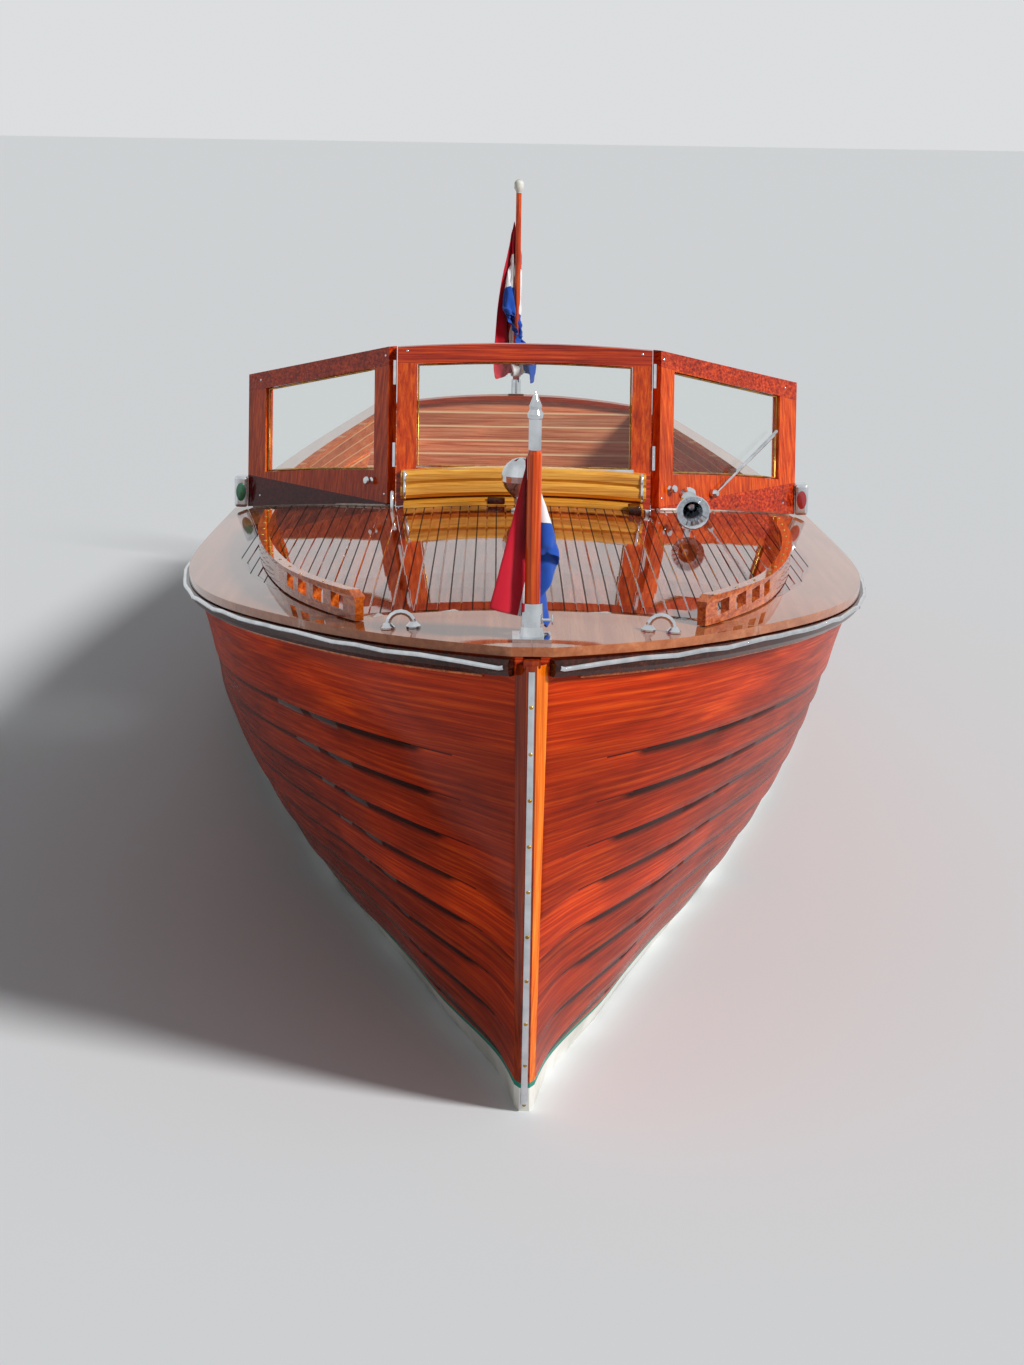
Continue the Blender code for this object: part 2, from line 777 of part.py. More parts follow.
def build_bench(name, s0, s1, half, back_height):
    """A thwart on two risers with its cushion, and a backrest where the height is given."""
    y0, y1 = s0 - MIDSHIPS, s1 - MIDSHIPS
    top = SOLE_TOP + SEAT_HEIGHT
    bench = f"{name}_bench"
    seat = add(bench, box((-half, y0, top - SEAT_BOARD), (half, y1, top)), mahogany())
    inset, riser_thick = 0.06, 0.022
    parts = []
    for k, y in enumerate((y0 + inset, y1 - inset - riser_thick)):
        riser = box((inset - half, y, SOLE_TOP + GAP), (half - inset, y + riser_thick, top - SEAT_BOARD / 2))
        parts.append(helper(f"{bench}_riser_{k}", riser))
    if back_height:
        back = box((-half, y1 - riser_thick, top - SEAT_BOARD / 2), (half, y1, top + back_height))
        parts.append(helper(f"{bench}_back", back))
    merge(seat, *parts)
    behind = riser_thick if back_height else 0
    cushion = box((0.03 - half, y0 + 0.01, top + GAP), (half - 0.03, y1 - behind - 0.008, top + CUSHION))
    piece = add(f"{name}_cushion", cushion, material("seat_cushion", (0.55, 0.42, 0.28), 0.8))
    soften = piece.modifiers.new("soften", "BEVEL")
    soften.width = 0.018
    soften.segments = 2


def build_seats():
    for row in SEATS:
        build_bench(*row)


# Running gear under the hull.


def propeller_axis():
    centre = Vector((0, PROPELLER_S - MIDSHIPS, PROPELLER_Z))
    ahead = Vector((0, -math.cos(SHAFT_ANGLE), math.sin(SHAFT_ANGLE)))
    return centre, ahead


def build_running_gear():
    centre, ahead = propeller_axis()
    aft = -ahead
    place = aim(centre, aft)
    hub = add("propeller", turned(((0.034, -0.045), (0.038, -0.02), (0.036, 0.02), (0.020, 0.045),
                                   (0.006, 0.055)), 16, place), bronze(), centre)
    parts = []
    for k in range(BLADES):
        turn = Matrix.Rotation(2 * math.pi * k / BLADES, 4, "Z")
        rings = []
        for r, chord, pitch in ((0.020, 0.055, 58), (0.06, 0.10, 42), (0.10, 0.11, 30), (0.135, 0.085, 25),
                                (PROPELLER_RADIUS, 0.035, 23)):
            c = math.cos(math.radians(pitch)) * chord / 2
            h = math.sin(math.radians(pitch)) * chord / 2
            thin = 0.004 if r < 0.1 else 0.0025
            rings.append([place @ turn @ Vector(p) for p in (
                (r, -c, -h - thin), (r, c, h - thin), (r, c, h + thin), (r, -c, -h + thin))])
        parts.append(helper(f"blade_{k}", skin(rings)))
    merge(hub, *parts)
    length = (PROPELLER_S - SKEG_END) / math.cos(SHAFT_ANGLE)
    add("propeller_shaft", tube([centre + ahead * (0.045 + GAP), centre + ahead * (length - 0.0030)],
                                SHAFT_RADIUS, 12), bronze())


def build_rudder():
    y = RUDDER_S - MIDSHIPS
    top = keel_line(RUDDER_S) - KEEL_STRIP - 0.004
    blade = [(y - 0.09, top - 0.08), (y - 0.10, -0.60), (y - 0.06, -0.66), (y + 0.16, -0.66),
             (y + 0.22, -0.58), (y + 0.20, top - 0.12), (y + 0.10, top - 0.07)]
    rudder = add("rudder", prism([Vector((-0.008, a, b)) for a, b in blade], (0.016, 0, 0)), bronze(),
                 (0, y, top - 0.05))
    stock = turned(((0.014, top - 0.30), (0.014, top + 0.0021)), 12, Matrix.Translation((0, y, 0)))
    merge(rudder, helper("rudder_stock", stock))


# Windscreen.


def screen_line(x):
    """Where the windscreen's middle surface meets the deck, as s at half-breadth x."""
    x = abs(x)
    if x <= SCREEN_HALF:
        return SCREEN_S
    return SCREEN_S + (x - SCREEN_HALF) * (WING_S - SCREEN_S) / (WING_HALF - SCREEN_HALF)


def screen_normal(x):
    """Unit direction ahead of the pane, in plan."""
    if abs(x) <= SCREEN_HALF:
        return Vector((0, -1, 0))
    slope = (WING_S - SCREEN_S) / (WING_HALF - SCREEN_HALF)
    n = Vector((slope, -1, 0)).normalized()
    return Vector((math.copysign(n.x, x), n.y, 0))


def screen_point(x, z, lift=0.0, normal=None):
    """A point of the raked pane at half-breadth x and height z, lifted off along its normal."""
    base = SCREEN_S
    rake = (z - deck_top(0, base)) * math.tan(SCREEN_RAKE)
    n = normal or screen_normal(x)
    return Vector((x, screen_line(x) + rake - MIDSHIPS, z)) + n * lift


def screen_plate(outline, thick, shift=0.0, bm=None):
    """A plate in the pane's surface from a front view outline of (x, z)."""
    middle = sum(x for x, _ in outline) / len(outline)
    n = screen_normal(middle if abs(middle) > SCREEN_HALF else 0)
    rings = [[screen_point(x, z, lift, n) for x, z in outline]
             for lift in (shift + thick / 2, shift - thick / 2)]
    return skin(rings, bm)


def raked_normal(x):
    """Unit normal of the raked pane, ahead and upwards."""
    flat = screen_normal(x)
    slope = (WING_S - SCREEN_S) / (WING_HALF - SCREEN_HALF) if abs(x) > SCREEN_HALF else 0
    rise = math.tan(SCREEN_RAKE) / math.hypot(slope, 1)
    return Vector((flat.x, flat.y, rise)).normalized()


def foot_height(x):
    """Height at which the frame clears the deck on both its faces."""
    n = screen_normal(x)
    s = screen_line(x)
    faces = [(abs(x + n.x * lift), s + n.y * lift) for lift in (SCREEN_THICK / 2, -SCREEN_THICK / 2)]
    return max(deck_top(*face) for face in faces) + (FRAME_SEAT if abs(x) < SCREEN_HALF else WING_SEAT)


def screen_top():
    return deck_top(0, SCREEN_S) + SCREEN_RISE


def wing_end_top():
    return deck_top(WING_HALF, WING_S) + WING_RISE


def wing_top(x):
    share = (abs(x) - SCREEN_HALF) / (WING_HALF - SCREEN_HALF)
    inner = screen_top() - 0.012
    return inner + (wing_end_top() - inner) * share


def centre_top(x):
    return screen_top() - 0.016 * (x / SCREEN_HALF) ** 2


def frame_outline(x0, x1, top, foot, over=9, under=9):
    """A front view outline between two lines, with a count of points for each: two where it is straight."""
    low = [x0 + (x1 - x0) * k / (under - 1) for k in range(under)]
    high = [x1 + (x0 - x1) * k / (over - 1) for k in range(over)]
    return [(x, foot(x)) for x in low] + [(x, top(x)) for x in high]


def build_screen_centre():
    half = SCREEN_HALF - 0.004
    outline = frame_outline(-half, half, centre_top, foot_height)
    frame = add("windscreen_centre_frame", screen_plate(outline, SCREEN_THICK), mahogany())
    inner = half - SCREEN_POST
    sill = deck_top(0, SCREEN_S) + SCREEN_SILL

    def opening(gap):
        return frame_outline(-inner + gap, inner - gap, lambda x: centre_top(x) - SCREEN_RAIL - gap,
                             lambda x: sill + gap, under=2)

    cut(frame, helper("centre_glass_hole", screen_plate(opening(0), SCREEN_THICK * 3)))
    add("windscreen_centre_glass", screen_plate(opening(PANE_GAP), GLASS), glass())


def build_screen_wing(side, name):
    x0, x1 = SCREEN_HALF + 0.012, WING_HALF
    outline = frame_outline(x0, x1, wing_top, foot_height, over=2)
    frame = add(f"{name}_frame", screen_plate([(side * x, z) for x, z in outline], SCREEN_THICK), mahogany())
    a, b = x0 + WING_INNER_STILE, x1 - WING_STILE

    def opening(gap):
        rows = frame_outline(a + gap, b - gap, lambda x: wing_top(x) - SCREEN_RAIL - gap,
                             lambda x: foot_height(x) + WING_BOARD + gap, over=2)
        return [(side * x, z) for x, z in rows]

    cut(frame, helper(f"{name}_hole", screen_plate(opening(0), SCREEN_THICK * 3)))
    add(f"{name}_glass", screen_plate(opening(PANE_GAP), GLASS), glass())


def build_quarter_glass(side, name):
    """A small rounded pane behind the outer stile, running aft along the side."""
    x = WING_HALF - 0.030
    y0 = WING_S - MIDSHIPS + 0.030
    low = deck_top(x, WING_S + 0.1) + 0.020
    high = wing_end_top() - 0.03
    outline = [(y0 + 0.004, low), (y0 + 0.26, low), (y0 + 0.275, low + 0.02), (y0 + 0.25, low + 0.16),
               (y0 + 0.17, low + 0.30), (y0 + 0.12, high - 0.02), (y0 + 0.09, high), (y0 + 0.055, high)]
    pane = prism([Vector((side * x, y, z)) for y, z in outline], (side * GLASS, 0, 0))
    piece = add(name, pane, glass())
    clamp = box((min(side * (x - 0.012), side * (x + 0.018)), y0 + 0.10, low - 0.0185),
                (max(side * (x - 0.012), side * (x + 0.018)), y0 + 0.15, low + 0.02))
    return merge(piece, helper(f"{name}_clamp", clamp))


def build_vent():
    """Two rounded golden bars across the foot of the centre frame, and the sill board under them."""
    front = SCREEN_THICK / 2 + 0.001
    rings = []
    count = 10
    for k in range(count + 1):
        x = -0.385 + 0.77 * k / count
        base = deck_top(x, SCREEN_S - 0.06)
        ring = []
        for depth, z in ((0.0, 0.028), (0.040, 0.028), (0.052, 0.040), (0.052, 0.062), (0.044, 0.072),
                         (0.050, 0.082), (0.050, 0.100), (0.040, 0.112), (0.0, 0.112)):
            p = screen_point(x, base + z, front + depth, Vector((0, -1, 0)))
            ring.append(p)
        rings.append(ring)
    add("vent_bars", skin(rings), golden_wood())
    rings = []
    for k in range(count + 1):
        x = -0.375 + 0.75 * k / count
        s = SCREEN_S - front - 0.002
        ring = []
        for depth, z in ((0.0, 0.0008), (0.075, 0.0008), (0.075, 0.014), (0.0, 0.026)):
            ring.append(Vector((x, s - depth - MIDSHIPS, deck_top(x, s - depth) + z)))
        rings.append(ring)
    add("vent_sill", skin(rings), golden_wood())


# Deck fittings.


def deck_spot(x, s, reach=0.0, lift=0.0006):
    """A point on the deck for a foot that reaches this far round it, clear of the camber."""
    around = [deck_top(abs(x) + a * reach, s + b * reach) for a in (-1, 0, 1) for b in (-1, 0, 1)]
    return Vector((x, s - MIDSHIPS, max(around) + lift))


def deck_frame(x, s, reach):
    """A matrix on the deck with its Z along the deck's normal, for a round foot of this reach."""
    e = 0.02
    across = (deck_top(abs(x) + e, s) - deck_top(abs(x) - e, s)) / (2 * e)
    along = (deck_top(x, s + e) - deck_top(x, s - e)) / (2 * e)
    normal = Vector((-across if x >= 0 else across, -along, 1)).normalized()
    lift = FOOT_SEAT + reach * reach / (2 * DECK_RADIUS)
    return aim(Vector((x, s - MIDSHIPS, deck_top(x, s))) + normal * lift, normal)


LAMP_X = -0.010
LAMP_S = 2.42
LAMP_RADIUS = 0.060
LAMP_RISE = 0.105
LAMP_FOOT = 0.037  # height of the foot
LAMP_GAP = 0.0015  # between the foot's top and the lamp's neck, less what the foot's seat lifts it
HORN_X = 0.503


def build_spotlight():
    foot = deck_spot(LAMP_X, LAMP_S)
    stem = turned(((0.032, 0), (0.032, 0.006), (0.018, 0.010), (0.018, 0.022), (0.021, LAMP_FOOT)), 14,
                  deck_frame(LAMP_X, LAMP_S, 0.032))
    add("spotlight_foot", stem, chrome())
    centre = foot + Vector((0, 0, LAMP_RISE))
    neck = LAMP_FOOT + LAMP_GAP - LAMP_RISE
    profile = [(0.006, neck), (0.021, neck)]
    for k in range(8):
        a = math.radians(-48 + 18 * k)
        profile.append((LAMP_RADIUS * math.cos(a), LAMP_RADIUS * math.sin(a)))
    profile.append((0.004, LAMP_RADIUS))
    add("spotlight", turned(profile, 18, Matrix.Translation(centre)), chrome(), centre, smooth=True)


def build_horn():
    """A trumpet horn on a foot, its bell towards the bow."""
    s_bell = 2.13
    axis = Vector((0, -1, -0.04)).normalized()
    bell = deck_spot(HORN_X, s_bell, 0.05, 0.056)
    profile = ((0.020, -0.30), (0.028, -0.26), (0.026, -0.20), (0.012, -0.17), (0.012, -0.12), (0.020, -0.06),
               (0.034, -0.02), (0.052, 0.0), (0.049, 0.003), (0.030, -0.018), (0.014, -0.06), (0.004, -0.10))
    horn = add("horn", turned(profile, 18, aim(bell, axis)), chrome(), smooth=True)
    back = bell - axis * 0.23
    ground = deck_frame(HORN_X, s_bell + 0.23, 0.030)
    rise = back.z - ground.translation.z
    foot = turned(((0.030, 0), (0.030, 0.006), (0.010, 0.012), (0.010, rise)), 12, ground)
    return merge(horn, helper("horn_foot", foot))


def build_fairlead(side, name):
    """A low arched loop of cast chrome on two feet."""
    s = 0.20
    x = side * (half_at(s) - 0.085)
    base = deck_spot(x, s)
    half, rise = 0.030, 0.028
    path = []
    for k in range(9):
        a = math.pi * k / 8
        path.append(base + Vector((half * math.cos(a), 0, 0.010 + rise * math.sin(a))))
    arch = add(name, tube(path, 0.0065, 8), chrome())
    parts = []
    for k, a in enumerate((-1, 1)):
        place = deck_frame(x + a * half, s, 0.018)
        foot = turned(((0.018, 0), (0.018, 0.004), (0.008, 0.014)), 12, place)
        parts.append(helper(f"{name}_foot_{k}", foot))
    return merge(arch, *parts)


DECK_RAIL_ROUTE = (  # distance inside the sheer, s
    (0.185, 2.62), (0.205, 2.05), (0.205, 1.65), (0.190, 1.28), (0.154, 0.92), (0.118, 0.67), (0.085, 0.44),
    (0.070, 0.32))
DECK_RAIL_STEPS = 20
DECK_RAIL_AFT, DECK_RAIL_FORE = 0.055, 0.074  # heights
WINDOW_LONG, WINDOW_HIGH, WINDOW_LIFT = 0.080, 0.034, 0.020
WINDOW_FIRST, WINDOW_PITCH, WINDOWS = 0.110, 0.134, 4  # measured along the rail from its forward end


def build_deck_rail(side, name):
    """A low curved wooden rail on the foredeck with windows cut in its forward part."""
    points = []
    steps = DECK_RAIL_STEPS
    route = [Vector((half_at(s) - inset, s)) for inset, s in DECK_RAIL_ROUTE]
    for k in range(steps + 1):
        f = k / steps * (len(route) - 1)
        i = min(int(f), len(route) - 2)
        q = [route[min(max(n, 0), len(route) - 1)] for n in (i - 1, i, i + 1, i + 2)]
        w = f - i
        points.append(0.5 * (2 * q[1] + (q[2] - q[0]) * w + (2 * q[0] - 5 * q[1] + 4 * q[2] - q[3]) * w * w
                             + (3 * q[1] - q[0] - 3 * q[2] + q[3]) * w ** 3))
    rings = []
    half = 0.011
    tops = []
    for k, p in enumerate(points):
        before, after = points[max(k - 1, 0)], points[min(k + 1, steps)]
        run = (after - before).normalized()
        out = Vector((-run[1], run[0]))
        end = min(k, steps - k)
        height = DECK_RAIL_AFT + (DECK_RAIL_FORE - DECK_RAIL_AFT) * k / steps
        if end == 0:
            height -= 0.016
        a, b = p + out * half, p - out * half
        low = max(deck_top(q[0], q[1]) for q in (a, b, p)) + 0.001
        cap = 0.004
        shape = ((a, 0), (a, height - 0.014), (a + out * cap, height), (b - out * cap, height),
                 (b, height - 0.014), (b, 0))
        rings.append([world(side, q[1], q[0], low + rise) for q, rise in shape])
        tops.append((world(side, p[1], p[0], low), out))
    rail = add(name, skin(rings), mahogany())
    windows = []
    middle = WINDOW_LIFT + WINDOW_HIGH / 2
    for n in range(WINDOWS):
        left = WINDOW_FIRST + WINDOW_PITCH * n
        k = steps
        while (points[k] - points[k - 1]).length < left:
            left -= (points[k] - points[k - 1]).length
            k -= 1
        share = left / (points[k] - points[k - 1]).length
        spot = tops[k][0].lerp(tops[k - 1][0], share) + Vector((0, 0, middle))
        out = tops[k][1].lerp(tops[k - 1][1], share)
        turn = math.atan2(out[1], side * out[0])
        bm = box((-0.03, -WINDOW_LONG / 2, -WINDOW_HIGH / 2), (0.03, WINDOW_LONG / 2, WINDOW_HIGH / 2))
        place = Matrix.Translation(spot) @ Matrix.Rotation(turn, 4, "Z")
        bmesh.ops.transform(bm, matrix=place, verts=bm.verts)
        windows.append(helper(f"{name}_window_{n}", bm))
    return cut(rail, *windows)


STAFF_S = 0.03
STAFF_HEIGHT = 0.555


def build_stemhead():
    """Chrome stemhead plate with a socket for the jackstaff."""
    foot = deck_spot(0, STAFF_S)
    plate = box((-0.045, -0.06, 0), (0.045, 0.055, 0.008))
    bmesh.ops.transform(plate, matrix=deck_frame(0, STAFF_S, 0.055), verts=plate.verts)
    fitting = add("stemhead_fitting", plate, chrome())
    socket = turned(((0.030, 0.004), (0.026, 0.030), (0.024, 0.085)), 16, Matrix.Translation(foot))
    bore = turned(((0.0185, 0.012), (0.0185, 0.12)), 16, Matrix.Translation(foot))
    merge(fitting, helper("staff_socket", socket))
    return cut(fitting, helper("staff_bore", bore))


def build_jackstaff():
    foot = deck_spot(0, STAFF_S) + Vector((0, 0, 0.0125))
    profile = ((0.018, 0), (0.018, 0.10), (0.0165, 0.42), (0.0135, 0.43), (0.0135, 0.500), (0.0160, 0.502),
               (0.0175, 0.510), (0.0120, 0.520), (0.0135, 0.528), (0.003, 0.560))
    scale = STAFF_HEIGHT / 0.56
    scaled = [(r, h * scale) for r, h in profile]
    return add("jackstaff", turned(scaled, 14, Matrix.Translation(foot)), mahogany(), smooth=True)


JACK_ROWS = (  # height above the deck, x from and to, y from and to
    (0.430, -0.006, 0.022, 0.0168, 0.034), (0.340, -0.040, 0.034, 0.0172, 0.050),
    (0.200, -0.052, 0.056, 0.0178, 0.064), (0.100, -0.056, 0.058, 0.0300, 0.076),
    (0.012, -0.112, 0.050, 0.0380, 0.080))
ENSIGN_ROWS = (  # height above the socket, x from and to, y to
    (0.780, -0.020, 0.014, 0.078), (0.560, -0.050, 0.060, 0.095), (0.300, -0.120, 0.090, 0.110),
    (0.120, -0.190, 0.075, 0.115), (-0.030, -0.170, 0.060, 0.110))
ENSIGN_HOIST_FOOT = 0.12
FLAG_THICK = 0.004


def build_flag(name, corner, rows):
    """A hanging flag as one closed bundle. Its rows give height, x from and to, and y from and to."""
    rings = []
    for z, x0, x1, y0, y1 in rows:
        rings.append([corner + Vector(p) for p in ((x0, y0, z), (x1, y0, z), (x1 + FLAG_THICK, (y0 + y1) / 2, z),
                                                  (x1, y1, z), (x0, y1, z),
                                                  (x0 - FLAG_THICK, (y0 + y1) / 2, z))])
    return add(name, skin(rings), cloth())


ENSIGN_S = 6.925
ENSIGN_FOOT = Vector((0, ENSIGN_S - MIDSHIPS, hull_point(LAST, 1)[2] + TRANSOM_CROWN + CAP_SEAT + CAP + 0.0006))
ENSIGN_LEAN = Vector((0, 0.06, 1)).normalized()
ENSIGN_STAFF = 0.965


def build_ensign():
    """The stern flag, its hoist close behind the leaning staff down to the hoist's foot."""
    slope = ENSIGN_LEAN.y / ENSIGN_LEAN.z
    rows = []
    for z, x0, x1, y1 in ENSIGN_ROWS:
        hoist = 0.0155 + slope * z if z >= ENSIGN_HOIST_FOOT else 0.045
        rows.append((z, x0, x1, hoist, y1))
    build_flag("ensign", ENSIGN_FOOT, rows)


def build_ensign_staff():
    """The stern staff in its socket on the transom's cap."""
    place = aim(ENSIGN_FOOT, ENSIGN_LEAN)
    plate = box((-0.035, ENSIGN_FOOT.y - 0.030, ENSIGN_FOOT.z + GAP),
                (0.035, ENSIGN_FOOT.y + 0.020, ENSIGN_FOOT.z + 0.008))
    socket = add("ensign_socket", plate, chrome())
    barrel = turned(((0.023, 0.004), (0.021, 0.070)), 14, place)
    bore = turned(((0.0155, 0.012), (0.0155, 0.10)), 14, place)
    merge(socket, helper("ensign_barrel", barrel))
    cut(socket, helper("ensign_bore", bore))
    staff = turned(((0.015, 0.0125), (0.015, 0.10), (0.012, ENSIGN_STAFF - 0.05), (0.020, ENSIGN_STAFF - 0.04),
                    (0.020, ENSIGN_STAFF - 0.015), (0.006, ENSIGN_STAFF)), 12, place)
    return add("ensign_staff", staff, mahogany(), smooth=True)


def build_nav_light(side, name):
    """A chrome side light on the foot of the outer stile."""
    x = side * (WING_HALF + 0.035)
    y = WING_S - MIDSHIPS - 0.004
    z0 = deck_spot(WING_HALF + 0.035, WING_S, 0.030).z
    body = add(name, box((x - 0.022, y - 0.030, z0), (x + 0.022, y + 0.030, z0 + 0.105)), chrome())
    soften = body.modifiers.new("soften", "BEVEL")
    soften.width = 0.010
    soften.segments = 2
    return body


def build_wiper():
    """Wiper arm and blade on the port wing, on a pivot boss."""
    x0, z0 = 0.60, foot_height(0.60) + 0.050
    lift = SCREEN_THICK / 2 + 0.0008
    n = raked_normal(x0)
    pivot = screen_point(x0, z0, lift, n)
    boss = add("wiper", turned(((0.014, 0), (0.014, 0.012), (0.008, 0.022)), 12, aim(pivot, n)), chrome(), pivot)
    tip = screen_point(x0 + 0.21, z0 + 0.155, lift + 0.012, n)
    start = pivot + n * 0.014
    arm = tube([start, tip], 0.004, 6)
    a = screen_point(x0 + 0.08, z0 + 0.055, lift + 0.006, n)
    blade = tube([a, screen_point(x0 + 0.225, z0 + 0.167, lift + 0.006, n)], 0.0055, 6)
    return merge(boss, helper("wiper_arm", arm), helper("wiper_blade", blade))


def build_throttle():
    foot = Vector((-0.02, DASH_LINE + GAP - MIDSHIPS, 0.90))
    lever = add("throttle_lever", turned(((0.030, 0), (0.030, 0.012), (0.012, 0.02)), 12,
                                         aim(foot, (0, 1, 0))), chrome())
    stick = tube([foot + Vector((0, 0.01, 0)), foot + Vector((0, 0.05, 0.03)), foot + Vector((0, 0.055, 0.11))],
                 0.006, 8)
    knob = turned(((0.008, -0.012), (0.016, 0), (0.008, 0.012)), 12,
                  Matrix.Translation(foot + Vector((0, 0.055, 0.115))))
    return merge(lever, helper("throttle_stick", stick), helper("throttle_knob", knob))


def main():
    clear_scene()
    for side, word in ((1, "port"), (-1, "starboard")):
        build_planking(side, f"planking_{word}")
        build_rub_rail(side, f"rub_rail_{word}")
        build_covering_board(side, f"covering_board_{word}")
        build_gunwale_cap(side, f"gunwale_cap_{word}")
        build_lining(side, f"side_lining_{word}")
        build_screen_wing(side, f"windscreen_wing_{word}")
        build_quarter_glass(side, f"quarter_glass_{word}")
        build_fairlead(side, f"fairlead_{word}")
        build_deck_rail(side, f"deck_rail_{word}")
        build_nav_light(side, f"side_light_{word}")
    build_stem()
    build_keel()
    build_transom()
    build_transom_cap()
    build_foredeck()
    build_sole()
    build_dashboard()
    build_steering()
    build_throttle()
    build_engine_box()
    build_seats()
    build_running_gear()
    build_rudder()
    build_screen_centre()
    build_vent()
    build_spotlight()
    build_horn()
    build_stemhead()
    build_jackstaff()
    build_flag("jack_flag", deck_spot(0, STAFF_S), JACK_ROWS)
    build_ensign()
    build_ensign_staff()
    build_wiper()


main()
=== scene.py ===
# %% [markdown]
# # Dressing a varnished speedboat
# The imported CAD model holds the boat's real shapes and joints. This lesson gives it the looks: varnish,
# chrome, glass and cloth, and the thin trim that is too fine for the CAD model. Metres, +Z up, bow along -Y.

# %% Load the frame
import math

import bmesh
import bpy
from mathutils import Matrix, Vector
from mathutils.bvhtree import BVHTree


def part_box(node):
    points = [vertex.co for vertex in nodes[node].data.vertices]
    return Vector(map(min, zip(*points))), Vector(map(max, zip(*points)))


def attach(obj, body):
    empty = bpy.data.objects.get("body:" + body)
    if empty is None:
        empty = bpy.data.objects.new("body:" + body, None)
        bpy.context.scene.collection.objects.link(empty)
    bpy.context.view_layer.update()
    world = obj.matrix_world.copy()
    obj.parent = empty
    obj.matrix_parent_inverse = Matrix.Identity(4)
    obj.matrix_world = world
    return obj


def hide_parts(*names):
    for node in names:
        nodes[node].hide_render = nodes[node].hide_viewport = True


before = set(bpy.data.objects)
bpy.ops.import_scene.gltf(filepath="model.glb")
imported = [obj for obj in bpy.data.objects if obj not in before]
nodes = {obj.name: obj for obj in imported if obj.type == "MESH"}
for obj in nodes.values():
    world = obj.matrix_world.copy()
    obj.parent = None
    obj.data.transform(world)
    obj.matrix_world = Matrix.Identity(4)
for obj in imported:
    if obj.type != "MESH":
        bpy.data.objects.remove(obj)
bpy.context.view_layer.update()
SIDES = ((1, "port"), (-1, "starboard"))

# %% [markdown]
# ## A helper for finishes
# Each finish is a small node tree on a Principled shader. One function adds a node with its settings and its
# links, so that a tree reads from top to bottom. Colours are written as the hex values that a paint chart
# uses, and are turned to the linear values that Blender computes with.

# %% Finish helpers
def linear(code):
    """Linear values of an sRGB hex colour."""
    parts = [int(code[k:k + 2], 16) / 255 for k in (1, 3, 5)]
    return (*(c / 12.92 if c <= 0.04045 else ((c + 0.055) / 1.055) ** 2.4 for c in parts), 1.0)


def finish(name, **sockets):
    """A new material, with constant values set straight on its shader's sockets."""
    mat = bpy.data.materials.new(name)
    mat.use_nodes = True
    shader = mat.node_tree.nodes["Principled BSDF"]
    for socket, value in sockets.items():
        shader.inputs[socket.replace("_", " ")].default_value = value
    return mat, shader


def add_node(mat, kind, values=(), links=(), stops=(), **settings):
    """One node: settings are its properties, values and links fill its sockets, and stops its ramp."""
    made = mat.node_tree.nodes.new(kind)
    for name, value in settings.items():
        setattr(made, name, value)
    for socket, value in dict(values).items():
        made.inputs[socket].default_value = value
    for socket, source in dict(links).items():
        mat.node_tree.links.new(source, made.inputs[socket])
    for k, (place, colour) in enumerate(stops):
        ramp = made.color_ramp.elements
        stop = ramp[k] if k < 2 else ramp.new(place)
        stop.position = place
        stop.color = colour
    return made


def join(mat, source, target):
    mat.node_tree.links.new(source, target)


MIX_FACTOR, MIX_A, MIX_B, MIX_RESULT = 0, 6, 7, 2
